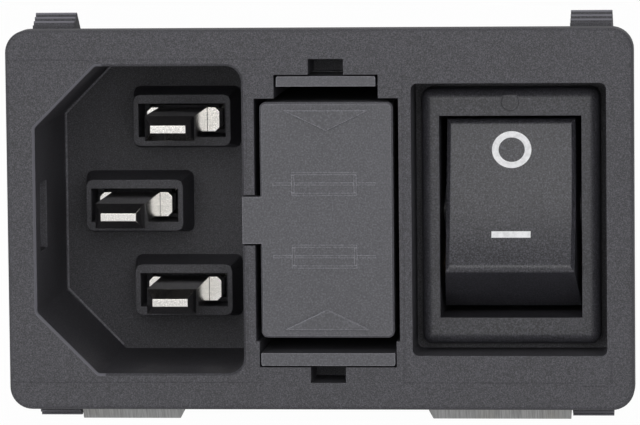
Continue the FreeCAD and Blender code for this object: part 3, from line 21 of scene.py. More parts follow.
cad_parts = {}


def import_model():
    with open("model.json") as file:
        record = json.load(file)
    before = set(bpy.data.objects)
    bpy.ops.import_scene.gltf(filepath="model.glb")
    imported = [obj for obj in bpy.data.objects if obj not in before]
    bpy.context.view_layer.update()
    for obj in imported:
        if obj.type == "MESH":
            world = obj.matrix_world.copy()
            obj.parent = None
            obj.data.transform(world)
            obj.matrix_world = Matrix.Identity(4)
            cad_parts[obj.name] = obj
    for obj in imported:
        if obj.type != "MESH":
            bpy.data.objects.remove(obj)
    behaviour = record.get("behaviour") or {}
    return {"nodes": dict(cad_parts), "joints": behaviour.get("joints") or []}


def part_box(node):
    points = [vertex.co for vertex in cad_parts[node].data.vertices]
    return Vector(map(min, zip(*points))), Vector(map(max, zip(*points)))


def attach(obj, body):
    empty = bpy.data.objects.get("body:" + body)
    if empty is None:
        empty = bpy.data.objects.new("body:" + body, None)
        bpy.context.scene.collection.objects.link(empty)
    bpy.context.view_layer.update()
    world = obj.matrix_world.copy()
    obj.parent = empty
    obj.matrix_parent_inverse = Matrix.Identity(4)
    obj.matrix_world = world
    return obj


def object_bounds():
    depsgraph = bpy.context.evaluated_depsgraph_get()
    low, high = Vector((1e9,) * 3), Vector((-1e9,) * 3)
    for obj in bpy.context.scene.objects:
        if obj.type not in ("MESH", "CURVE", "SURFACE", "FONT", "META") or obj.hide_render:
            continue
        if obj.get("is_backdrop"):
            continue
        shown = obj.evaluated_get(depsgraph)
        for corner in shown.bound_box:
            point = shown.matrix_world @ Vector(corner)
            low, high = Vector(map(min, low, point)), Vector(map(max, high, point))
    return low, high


LOG = logging.getLogger("inlet_module")
MM = 0.001
FLOOR_GAP = 0.02 * MM
WELD_DISTANCE = 0.0002 * MM
SHARP_ANGLE = math.radians(28)
FLAT_WEIGHT = 90

Colour = tuple[float, float, float]
Place = tuple[float, float, float]
Band = tuple[float, float]
FlatPath = tuple[tuple[float, float], ...]
Socket = bpy.types.NodeSocket


class Body(Enum):
    """The rigid bodies that carry the added pieces."""

    HOUSING = "housing"
    DRAWER = "drawer"
    ROCKER = "rocker"


class Grain(Enum):
    """Direction in which a metal strip was rolled or brushed."""

    ALONG_Y = (30.0, 1.0, 30.0)
    ALONG_Z = (30.0, 30.0, 1.0)
    DOWN_STRIP = (24.0, 1.0, 1.0)
    NONE = (1.0, 1.0, 1.0)


# ---------------------------------------------------------------- node graphs


class Graph:
    """A node tree with short calls for adding nodes and joining them."""

    MIX_FACTOR, MIX_FIRST, MIX_SECOND = 0, 6, 7
    MIX_RESULT = 2

    def __init__(self, tree: bpy.types.NodeTree) -> None:
        """Starts from an empty tree.

        Args:
            tree: The tree to fill.
        """
        self.tree = tree
        tree.nodes.clear()

    def add(self, kind: str, inputs: dict[str | int, Any] | None = None, **settings: Any) -> bpy.types.Node:
        """Adds a node.

        Args:
            kind: The node's type name.
            inputs: Values or sockets for its inputs, by name or number.
            **settings: The node's own properties.

        Returns:
            The new node.
        """
        node = self.tree.nodes.new(kind)
        for name, value in settings.items():
            setattr(node, name, value)
        for key, value in (inputs or {}).items():
            self.feed(node.inputs[key], value)
        return node

    def feed(self, socket: Socket, value: Any) -> None:
        """Gives an input a value, or joins another node's output to it.

        Args:
            socket: The input.
            value: A plain value or another node's output.
        """
        if isinstance(value, bpy.types.NodeSocket):
            self.tree.links.new(value, socket)
        else:
            socket.default_value = value

    def maths(self, operation: str, *values: Any) -> Socket:
        """Result of a Math node over numbers or sockets."""
        return self.add("ShaderNodeMath", dict(enumerate(values)), operation=operation).outputs[0]

    def mix(self, factor: Any, first: Any, second: Any, blend: str = "MIX") -> Socket:
        """Mix of two colours.

        Args:
            factor: How much of the second colour, a number or a socket.
            first: First colour or socket.
            second: Second colour or socket.
            blend: Blend mode.

        Returns:
            The mixed colour's socket.
        """
        node = self.add("ShaderNodeMix", data_type="RGBA", blend_type=blend)
        self.feed(node.inputs[self.MIX_FACTOR], factor)
        self.feed(node.inputs[self.MIX_FIRST], first)
        self.feed(node.inputs[self.MIX_SECOND], second)
        return node.outputs[self.MIX_RESULT]

    def ramp(self, value: Socket, low: float, high: float, start: float = 0.0, end: float = 1.0) -> Socket:
        """Clamped linear map of a value from one range to another.

        Args:
            value: The value to map.
            low: Value that gives the start.
            high: Value that gives the end.
            start: Result at the low value.
            end: Result at the high value.

        Returns:
            The mapped value.
        """
        node = self.add(
            "ShaderNodeMapRange",
            {"Value": value, "From Min": low, "From Max": high, "To Min": start, "To Max": end},
        )
        return node.outputs["Result"]


class Surface(Graph):
    """A material's graph, with the patterns that several finishes share."""

    NOISE_ROUGHNESS = 0.55
    BEVEL_SAMPLES = 6
    WEAR_STARTS, WEAR_FULL = 0.995, 0.85

    def __init__(self, name: str) -> None:
        """Makes the material.

        Args:
            name: The material's name.
        """
        self.material = bpy.data.materials.new(name)
        self.material.use_nodes = True
        super().__init__(self.material.node_tree)
        self.coordinates = self.add("ShaderNodeTexCoord").outputs["Object"]

    def noise(self, size: float, detail: float = 2.0, stretch: Grain = Grain.NONE) -> Socket:
        """Noise whose features are about a given size.

        Args:
            size: Feature size in metres.
            detail: Octaves of finer noise.
            stretch: Direction that the pattern is drawn out along.

        Returns:
            A value around one half.
        """
        place = self.add("ShaderNodeMapping", {"Vector": self.coordinates, "Scale": stretch.value})
        node = self.add(
            "ShaderNodeTexNoise",
            {
                "Vector": place.outputs[0],
                "Scale": 1.0 / size,
                "Detail": detail,
                "Roughness": self.NOISE_ROUGHNESS,
            },
        )
        return node.outputs[0]

    def rounded_normal(self, radius: float) -> Socket:
        """Normal that rounds the edges off, as a mould does."""
        return self.add("ShaderNodeBevel", {"Radius": radius}, samples=self.BEVEL_SAMPLES).outputs[0]

    def edge_mask(self, radius: float) -> Socket:
        """One along sharp edges and nought on flats.

        Args:
            radius: How far from an edge the wear and the painted highlight reach.

        Returns:
            The mask.
        """
        flat = self.add("ShaderNodeNewGeometry").outputs["Normal"]
        bent = self.rounded_normal(radius)
        dot = self.add("ShaderNodeVectorMath", {0: flat, 1: bent}, operation="DOT_PRODUCT")
        return self.ramp(dot.outputs["Value"], self.WEAR_STARTS, self.WEAR_FULL)

    def axis(self, name: str) -> Socket:
        """One coordinate of the surface point, by its letter."""
        return self.add("ShaderNodeSeparateXYZ", {0: self.coordinates}).outputs[name]

    def within(self, name: str, start: float, end: float, soft: float) -> Socket:
        """One where a coordinate lies between two limits, fading out inside them.

        Args:
            name: The coordinate's letter.
            start: Lower limit.
            end: Upper limit.
            soft: Width over which the mask fades.

        Returns:
            The mask.
        """
        middle, half = (start + end) / 2, (end - start) / 2
        away = self.maths("ABSOLUTE", self.maths("SUBTRACT", self.axis(name), middle))
        return self.ramp(away, half - soft, half, 1.0, 0.0)

    def bump(self, height: Socket, depth: float, normal: Socket | None = None) -> Socket:
        """Normal disturbed by a height.

        Args:
            height: Height from 0 to 1.
            depth: What a height of 1 stands for, in metres.
            normal: Normal to start from, or the surface's own.

        Returns:
            The disturbed normal.
        """
        inputs: dict[str | int, Any] = {"Height": height, "Distance": depth, "Strength": 1.0}
        if normal is not None:
            inputs["Normal"] = normal
        return self.add("ShaderNodeBump", inputs).outputs[0]

    def finish_with(self, shader: Socket) -> bpy.types.Material:
        """Joins the shader to the output and hands over the material."""
        self.add("ShaderNodeOutputMaterial", {"Surface": shader})
        return self.material


# ---------------------------------------------------------------- finishes


NOISE_RANGE = (0.3, 0.7)  # where nearly all values of a noise lie
HIGHLIGHT_FADE = 0.1 * MM
OFF_WALL = (0.08, 0.3)  # how far a rounding's normal has left the wall behind it
OFF_FACE = (0.99, 0.93)  # and how far it still is from the face in front


@dataclass(frozen=True)
class WitnessLine:
    """A faint line that a mould insert leaves on the flange, in millimetres."""

    along: str
    at: float
    start: float
    end: float


@dataclass(frozen=True)
class PaintedHighlight:
    """A box of the moulding painted lighter than the rest, a painted highlight, in millimetres."""

    x: tuple[float, float]
    y: tuple[float, float]
    z: tuple[float, float]
    share: float
    on_rounding: bool = False

    def mask(self, surface: Surface) -> Socket:
        """One inside the box, on its roundings alone where that is asked.

        Args:
            surface: The material's graph.

        Returns:
            The mask.
        """
        across, deep, high = (
            surface.within(axis, start * MM, end * MM, HIGHLIGHT_FADE)
            for axis, (start, end) in zip("XYZ", (self.x, self.y, self.z))
        )
        inside = surface.maths("MULTIPLY", surface.maths("MULTIPLY", across, deep), high)
        if not self.on_rounding:
            return inside
        normal = surface.add("ShaderNodeNewGeometry").outputs["Normal"]
        facing = surface.add("ShaderNodeSeparateXYZ", {0: normal}).outputs["Y"]
        turned = surface.maths("ABSOLUTE", facing)
        off_wall = surface.ramp(turned, *OFF_WALL)
        rounding = surface.maths("MULTIPLY", off_wall, surface.ramp(turned, *OFF_FACE))
        return surface.maths("MULTIPLY", inside, rounding)


@dataclass(frozen=True)
class MouldedPlastic:
    """Moulded thermoplastic with a spark-eroded or polished surface."""

    BLOTCH_SIZE: ClassVar[float] = 6.0 * MM
    SPECK_SHARE: ClassVar[float] = 0.6
    BRIGHT_TONE: ClassVar[float] = 2.2
    DEEP_TONE: ClassVar[float] = 0.35
    WORN_AND_LIT_TONE: ClassVar[float] = 3.2
    LINE_HEIGHT: ClassVar[float] = 1.6
    LINE_EDGES: ClassVar[Band] = (0.02 * MM, 0.09 * MM)
    LINE_FADE: ClassVar[float] = 0.2 * MM
    BLOTCHES: ClassVar[Band] = (0.35, 0.65)
    BRIGHT_SPECKS: ClassVar[Band] = (0.52, 0.70)
    DEEP_SPECKS: ClassVar[Band] = (0.48, 0.30)
    WEAR_AND_HIGHLIGHT_SPREAD: ClassVar[Band] = (0.4, 1.3)
    GLOSS_SPREAD: ClassVar[Band] = (0.04, 0.05)

    name: str
    colour: Colour
    roughness: float = 0.55
    grain_size: float = 0.22 * MM
    grain_depth: float = 0.008 * MM
    mottle: float = 0.10
    edge_radius: float = 0.12 * MM
    edge_wear_and_highlight: float = 0.35
    wear_and_highlight_radius: float = 0.12 * MM
    specular: float = 0.5
    speckle: float = 0.35
    lines: tuple[WitnessLine, ...] = ()
    painted_highlights: tuple[PaintedHighlight, ...] = ()

    def material(self) -> bpy.types.Material:
        """Builds the plastic.

        Returns:
            The new material.
        """
        surface = Surface(self.name)
        grain = surface.noise(self.grain_size, 3.0)
        blotch = surface.noise(self.BLOTCH_SIZE, 3.0)
        speck = surface.noise(self.grain_size * self.SPECK_SHARE, 1.0)
        dark, light = self._tone(1 - self.mottle), self._tone(1 + self.mottle)
        colour = surface.mix(surface.ramp(blotch, *self.BLOTCHES), dark, light)
        bright, deep = self._tone(self.BRIGHT_TONE), self._tone(self.DEEP_TONE)
        for band, tone in ((self.BRIGHT_SPECKS, bright), (self.DEEP_SPECKS, deep)):
            colour = surface.mix(surface.ramp(speck, *band, 0.0, self.speckle), colour, tone)
        # Sharp edges made lighter: partly wear, partly a painted edge highlight.
        wear_and_highlight = surface.maths("MULTIPLY", surface.edge_mask(self.wear_and_highlight_radius), self.edge_wear_and_highlight)
        wear_and_highlight = surface.maths("MULTIPLY", wear_and_highlight, surface.ramp(speck, *NOISE_RANGE, *self.WEAR_AND_HIGHLIGHT_SPREAD))
        colour = surface.mix(wear_and_highlight, colour, self._tone(self.WORN_AND_LIT_TONE))
        # Painted highlights: listed boxes of the moulding made lighter.
        for place in self.painted_highlights:
            colour = surface.mix(place.mask(surface), colour, self._tone(place.share))
        height = grain
        for line in self.lines:
            raised = surface.maths("MULTIPLY", self._line(surface, line), self.LINE_HEIGHT)
            height = surface.maths("ADD", height, raised)
        normal = surface.bump(height, self.grain_depth, surface.rounded_normal(self.edge_radius))
        glossier, duller = self.GLOSS_SPREAD
        rough = surface.ramp(
            blotch, *NOISE_RANGE, self.roughness - glossier, self.roughness + duller
        )
        shader = surface.add(
            "ShaderNodeBsdfPrincipled",
            {
                "Base Color": colour,
                "Roughness": rough,
                "Normal": normal,
                "Specular IOR Level": self.specular,
            },
        )
        return surface.finish_with(shader.outputs[0])

    def _tone(self, share: float) -> tuple[float, ...]:
        """The plastic's colour made lighter or darker by a share."""
        return tuple(c * share for c in self.colour) + (1.0,)

    @staticmethod
    def _line(surface: Surface, line: WitnessLine) -> Socket:
        """Mask of one witness line, narrow across and limited along.

        Args:
            surface: The material's graph.
            line: The line.

        Returns:
            The mask.
        """
        parts = surface.add("ShaderNodeSeparateXYZ", {0: surface.coordinates}).outputs
        along, across = (parts["X"], parts["Z"]) if line.along == "x" else (parts["Z"], parts["X"])
        away = surface.maths("ABSOLUTE", surface.maths("SUBTRACT", across, line.at * MM))
        middle = (line.start + line.end) / 2 * MM
        past = surface.maths("ABSOLUTE", surface.maths("SUBTRACT", along, middle))
        narrow = surface.ramp(away, *MouldedPlastic.LINE_EDGES, 1.0, 0.0)
        half = abs(line.end - line.start) / 2 * MM
        ends = surface.ramp(past, half, half + MouldedPlastic.LINE_FADE, 1.0, 0.0)
        return surface.maths("MULTIPLY", narrow, ends)


@dataclass(frozen=True)
class StripMetal:
    """Rolled or plated metal with fine scratches along its grain."""

    SCRATCH_SIZE: ClassVar[float] = 2.4 * MM
    CLOUD_SIZE: ClassVar[float] = 2.5 * MM
    STAINED: ClassVar[Band] = (0.52, 0.75)
    MEAN_TONE: ClassVar[float] = 0.97
    GLOSS_SPREAD: ClassVar[Band] = (0.05, 0.07)
    STAIN_DULLING: ClassVar[float] = 0.3

    name: str
    colour: Colour
    roughness: float = 0.25
    grain: Grain = Grain.ALONG_Y
    scratch_depth: float = 0.002 * MM
    streak_depth: float = 0.09
    stain: Colour = (0.35, 0.31, 0.25)
    stain_amount: float = 0.25
    edge_radius: float = 0.08 * MM

    def material(self) -> bpy.types.Material:
        """Builds the metal.

        Returns:
            The new material.
        """
        surface = Surface(self.name)
        scratches = surface.noise(self.SCRATCH_SIZE, 4.0, self.grain)
        cloud = surface.noise(self.CLOUD_SIZE, 4.0)
        stain = surface.ramp(cloud, *self.STAINED, 0.0, self.stain_amount)
        colour = surface.mix(stain, self.colour + (1.0,), self.stain + (1.0,))
        faint, strong = self.MEAN_TONE - self.streak_depth, self.MEAN_TONE + self.streak_depth
        streak = surface.ramp(scratches, *NOISE_RANGE, faint, strong)
        colour = surface.mix(1.0, colour, self._grey(surface, streak), "MULTIPLY")
        glossier, duller = self.GLOSS_SPREAD
        rough = surface.maths(
            "ADD",
            surface.ramp(scratches, *NOISE_RANGE, self.roughness - glossier, self.roughness + duller),
            surface.maths("MULTIPLY", stain, self.STAIN_DULLING),
        )
        normal = surface.bump(scratches, self.scratch_depth, surface.rounded_normal(self.edge_radius))
        shader = surface.add(
            "ShaderNodeBsdfPrincipled",
            {"Base Color": colour, "Metallic": 1.0, "Roughness": rough, "Normal": normal},
        )
        return surface.finish_with(shader.outputs[0])

    @staticmethod
    def _grey(surface: Surface, value: Socket) -> Socket:
        """A grey of a given value."""
        return surface.add("ShaderNodeCombineColor", {0: value, 1: value, 2: value}).outputs[0]


@dataclass(frozen=True)
class FuseGlass:
    """Thin clear tube glass with a faint haze."""

    name: str
    tint: Colour = (0.93, 0.97, 0.95)
    haze: float = 0.06
    clear: float = 0.02
    refraction: float = 1.47
    film_size: float = 3.0 * MM
    film_depth: float = 0.002 * MM

    def material(self) -> bpy.types.Material:
        """Builds the glass.

        Returns:
            The new material.
        """
        surface = Surface(self.name)
        film = surface.noise(self.film_size, 3.0)
        rough = surface.ramp(film, 0.4, 0.7, self.clear, self.haze)
        shader = surface.add(
            "ShaderNodeBsdfPrincipled",
            {
                "Base Color": self.tint + (1.0,),
                "Roughness": rough,
                "Transmission Weight": 1.0,
                "IOR": self.refraction,
                "Normal": surface.bump(film, self.film_depth),
            },
        )
        return surface.finish_with(shader.outputs[0])


@dataclass(frozen=True)
class PrintedInk:
    """Opaque pad-printed ink, a little uneven in cover."""

    name: str
    colour: Colour = (0.91, 0.91, 0.93)
    roughness: float = 0.5
    cover_size: float = 0.35 * MM
    cover_depth: float = 0.003 * MM
    thin_tone: float = 0.82

    def material(self) -> bpy.types.Material:
        """Builds the ink.

        Returns:
            The new material.
        """
        surface = Surface(self.name)
        cover = surface.noise(self.cover_size, 3.0)
        thin = tuple(c * self.thin_tone for c in self.colour) + (1.0,)
        colour = surface.mix(surface.ramp(cover, 0.35, 0.6), thin, self.colour + (1.0,))
        shader = surface.add(
            "ShaderNodeBsdfPrincipled",
            {
                "Base Color": colour,
                "Roughness": self.roughness,
                "Normal": surface.bump(cover, self.cover_depth),
            },
        )
        return surface.finish_with(shader.outputs[0])


HOUSING_LINES = (
    WitnessLine("x", 12.85, -24.6, -4.6),
    WitnessLine("x", -12.95, -24.6, -4.6),
    WitnessLine("z", -5.75, 2.6, 12.4),
    WitnessLine("z", -5.75, -12.4, -2.6),
    WitnessLine("z", 6.75, -12.4, 12.4),
    WitnessLine("x", -12.95, 6.8, 20.6),
    WitnessLine("x", -13.2, 20.8, 23.2),
    WitnessLine("z", 23.2, -13.2, -11.1),
)

LATCH_EDGES = ((1.6, 15.7), (2.2, 16.0), (2.8, 16.3))
# Painted highlights: lighter bands on the latches' step edges and on the left rounding of the inlet's
# mouth, where light catches them.
HOUSING_PAINTED_HIGHLIGHTS = (
    *(PaintedHighlight((-24.6, 24.6), (y - 0.15, y + 0.2), (z - 0.17, z + 0.08), 4.0) for y, z in LATCH_EDGES),
    *(PaintedHighlight((-24.6, 24.6), (y - 0.15, y + 0.2), (-z - 0.08, 0.17 - z), 4.0) for y, z in LATCH_EDGES),
    # Painted highlight on the rounding of the inlet mouth's left edge.
    PaintedHighlight((-23.6, -17.2), (-2.8, -0.6), (-13.2, 13.2), 2.6, on_rounding=True),
)


class Palette:
    """Every finish of the module, built once and looked up by name."""

    def __init__(self) -> None:
        """Builds the finishes."""
        finishes = (
            MouldedPlastic(
                "housing_plastic",
                (0.0535, 0.0525, 0.0605),
                0.58,
                grain_size=0.15 * MM,
                grain_depth=0.02 * MM,
                edge_wear_and_highlight=0.3,
                speckle=0.75,
                lines=HOUSING_LINES,
                painted_highlights=HOUSING_PAINTED_HIGHLIGHTS,
            ),
            MouldedPlastic("cover_plastic", (0.030, 0.030, 0.032), 0.5, grain_depth=0.004 * MM),
            MouldedPlastic(
                "drawer_plastic",
                (0.086, 0.0855, 0.096),
                0.5,
                grain_depth=0.002 * MM,
                mottle=0.06,
                edge_radius=0.04 * MM,
                edge_wear_and_highlight=1.0,
                speckle=0.35,
            ),
            MouldedPlastic(
                "case_plastic",
                (0.036, 0.0356, 0.0418),
                0.42,
                grain_size=0.2 * MM,
                grain_depth=0.003 * MM,
                edge_wear_and_highlight=0.15,
                speckle=0.9,
            ),
            MouldedPlastic(
                "rocker_plastic",
                (0.039, 0.0385, 0.0455),
                0.34,
                grain_size=0.2 * MM,
                grain_depth=0.0015 * MM,
                mottle=0.05,
                edge_wear_and_highlight=0.45,
                speckle=1.0,
            ),
            MouldedPlastic(
                "plunger_plastic",
                (0.62, 0.61, 0.57),
                0.4,
                grain_depth=0.001 * MM,
                mottle=0.04,
                edge_wear_and_highlight=0.0,
            ),
            StripMetal("pin_metal", (0.84, 0.82, 0.785), 0.12, stain_amount=0.12, streak_depth=0.18),
            StripMetal("contact_brass", (0.80, 0.68, 0.42), 0.28),
            StripMetal("cap_metal", (0.82, 0.82, 0.80), 0.14, Grain.NONE, stain_amount=0.1),
            StripMetal("fuse_wire", (0.80, 0.78, 0.74), 0.3, stain_amount=0.0),
            StripMetal("clip_metal", (0.435, 0.435, 0.435), 0.42, Grain.DOWN_STRIP, streak_depth=0.30),
            StripMetal("spring_steel", (0.62, 0.62, 0.62), 0.25, Grain.NONE),
            StripMetal("bridge_copper", (0.80, 0.52, 0.36), 0.3, Grain.ALONG_Z),
            FuseGlass("fuse_glass"),
            # Lighter plastic for the strip at the inlet floor's edge: a painted highlight.
            MouldedPlastic(
                "highlight_strip_plastic", (0.19, 0.187, 0.21), 0.5, grain_depth=0.002 * MM, edge_wear_and_highlight=0.0
            ),
            PrintedInk("mark_ink"),
        )
        self._materials = {finish.name: finish.material() for finish in finishes}

    def __getitem__(self, name: str) -> bpy.types.Material:
        """The finish of that name."""
        return self._materials[name]


# ---------------------------------------------------------------- meshes


def mesh_object(name: str, mesh: bpy.types.Mesh, material: bpy.types.Material) -> bpy.types.Object:
    """Puts a mesh in the scene as an object at the origin.

    Args:
        name: Object name.
        mesh: Its mesh, in place.
        material: Its only finish.

    Returns:
        The new object.
    """
    mesh.materials.clear()
    mesh.materials.append(material)
    made = bpy.data.objects.new(name, mesh)
    bpy.context.scene.collection.objects.link(made)
    return made


def baked_copy(source: bpy.types.Object, name: str, material: bpy.types.Material) -> bpy.types.Object:
    """Turns an object with live modifiers into a plain mesh object and removes the first.

    Args:
        source: Object whose modifiers are to be made real.
        name: Name of the plain object.
        material: Its only finish.

    Returns:
        The plain object.
    """
    graph = bpy.context.evaluated_depsgraph_get()
    mesh = bpy.data.meshes.new_from_object(source.evaluated_get(graph), depsgraph=graph)
    bpy.data.objects.remove(source)
    return mesh_object(name, mesh, material)


def tree_of(node: bpy.types.Object) -> BVHTree:
    """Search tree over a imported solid's triangles.

    Args:
        node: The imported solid.

    Returns:
        The tree.
    """
    points = [v.co.copy() for v in node.data.vertices]
    faces = [tuple(p.vertices) for p in node.data.polygons]
    return BVHTree.FromPolygons(points, faces)


SKIN_DEPTH = 1.6  # thickness of a skin in heights above its surface, so that it is seated in it


def inlay(
    name: str,
    outline: Callable[[float, float], Vector],
    steps: tuple[int, int],
    closed: bool,
    laid_on: BVHTree,
    direction: Vector,
    proud: float,
    material: bpy.types.Material,
) -> bpy.types.Object:
    """A thin skin of ink or plastic that lies on a surface.

    Args:
        name: Object name.
        outline: Point of the skin for two shares from 0 to 1, in front of the surface.
        steps: Divisions along and across.
        closed: Whether the skin joins up along, as a ring does.
        laid_on: The surface.
        direction: Way from the outline to the surface.
        proud: Height that the skin stands above the surface.
        material: Its finish.

    Returns:
        The skin.
    """
    mesh = bmesh.new()
    along, across = steps
    columns = along if closed else along + 1
    rows: list[list[bmesh.types.BMVert]] = []
    for i in range(columns):
        row = []
        for j in range(across + 1):
            start = outline(i / along, j / across)
            hit, _, _, _ = laid_on.ray_cast(start, direction)
            row.append(mesh.verts.new(hit - direction * proud))
        rows.append(row)
    for i in range(along):
        after = rows[(i + 1) % columns]
        for j in range(across):
            mesh.faces.new((rows[i][j], after[j], after[j + 1], rows[i][j + 1]))
    rim = bmesh.ops.extrude_face_region(mesh, geom=list(mesh.faces))
    lowered = [v for v in rim["geom"] if isinstance(v, bmesh.types.BMVert)]
    bmesh.ops.translate(mesh, verts=lowered, vec=direction * (proud * SKIN_DEPTH))
    bmesh.ops.recalc_face_normals(mesh, faces=list(mesh.faces))
    data = bpy.data.meshes.new(name)
    mesh.to_mesh(data)
    mesh.free()
    return mesh_object(name, data, material)


class RingTree:
    """Geometry Nodes that set a thin raised ring on every point, facing the way it is told."""

    FACING = "facing"
    RING_STEPS = 40
    BEAD_STEPS = 8

    def __init__(self, name: str) -> None:
        """Builds the tree.

        Args:
            name: Name of the node group.
        """
        self.group = bpy.data.node_groups.new(name, "GeometryNodeTree")
        sockets = self.group.interface
        sockets.new_socket(name="Points", in_out="INPUT", socket_type="NodeSocketGeometry")
        self.inputs = {
            label: sockets.new_socket(name=label, in_out="INPUT", socket_type=kind)
            for label, kind in (
                ("Ring Radius", "NodeSocketFloat"),
                ("Bead Radius", "NodeSocketFloat"),
                ("Finish", "NodeSocketMaterial"),
            )
        }
        sockets.new_socket(name="Rings", in_out="OUTPUT", socket_type="NodeSocketGeometry")
        graph = Graph(self.group)
        given = graph.add("NodeGroupInput").outputs
        ring = graph.add(
            "GeometryNodeCurvePrimitiveCircle",
            {"Resolution": self.RING_STEPS, "Radius": given["Ring Radius"]},
        )
        bead = graph.add(
            "GeometryNodeCurvePrimitiveCircle",
            {"Resolution": self.BEAD_STEPS, "Radius": given["Bead Radius"]},
        )
        swept = graph.add(
            "GeometryNodeCurveToMesh",
            {"Curve": ring.outputs["Curve"], "Profile Curve": bead.outputs["Curve"]},
        )
        facing = graph.add(
            "GeometryNodeInputNamedAttribute", {"Name": self.FACING}, data_type="FLOAT_VECTOR"
        )
        turn = graph.add(
            "FunctionNodeAlignRotationToVector", {"Vector": facing.outputs["Attribute"]}, axis="Z"
        )
        placed = graph.add(
            "GeometryNodeInstanceOnPoints",
            {"Points": given["Points"], "Instance": swept.outputs["Mesh"], "Rotation": turn.outputs[0]},
        )
        real = graph.add("GeometryNodeRealizeInstances", {"Geometry": placed.outputs["Instances"]})
        dressed = graph.add(
            "GeometryNodeSetMaterial", {"Geometry": real.outputs[0], "Material": given["Finish"]}
        )
        graph.add("NodeGroupOutput", {0: dressed.outputs[0]})

    def rings(
        self,
        name: str,
        places: Sequence[tuple[Vector, Vector]],
        radius: float,
        bead: float,
        material: bpy.types.Material,
    ) -> bpy.types.Object:
        """Makes one plain mesh of all the rings.

        Args:
            name: Object name.
            places: Centre and facing of each ring.
            radius: Ring radius in metres.
            bead: Radius of the ring's own section.
            material: Their finish.

        Returns:
            The rings as one object.
        """
        mesh = bpy.data.meshes.new(name + "_points")
        mesh.from_pydata([centre for centre, _ in places], [], [])
        facing = mesh.attributes.new(self.FACING, "FLOAT_VECTOR", "POINT")
        for item, (_, normal) in zip(facing.data, places):
            item.vector = normal
        carrier = bpy.data.objects.new(name + "_points", mesh)
        bpy.context.scene.collection.objects.link(carrier)
        modifier = carrier.modifiers.new("rings", "NODES")
        modifier.node_group = self.group
        modifier[self.inputs["Ring Radius"].identifier] = radius
        modifier[self.inputs["Bead Radius"].identifier] = bead
        modifier[self.inputs["Finish"].identifier] = material
        return baked_copy(carrier, name, material)


# ---------------------------------------------------------------- sub-assemblies


def dress(nodes: dict[str, bpy.types.Object], names: Iterable[str], material: bpy.types.Material) -> None:
    """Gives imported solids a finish, and smooth shading on their curved faces.

    Args:
        nodes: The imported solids.
        names: Which of them.
        material: Their finish.
    """
    for name in names:
        solid = nodes[name]
        solid.data.materials.clear()
        solid.data.materials.append(material)
        solid.data.polygons.foreach_set("use_smooth", [True] * len(solid.data.polygons))
        weld = solid.modifiers.new("weld", "WELD")
        weld.merge_threshold = WELD_DISTANCE
        split = solid.modifiers.new("split", "EDGE_SPLIT")
        split.split_angle = SHARP_ANGLE
        even = solid.modifiers.new("even", "WEIGHTED_NORMAL")
        even.mode = "FACE_AREA"
        even.weight = FLAT_WEIGHT
        LOG.info("dressed %s with %s", name, material.name)


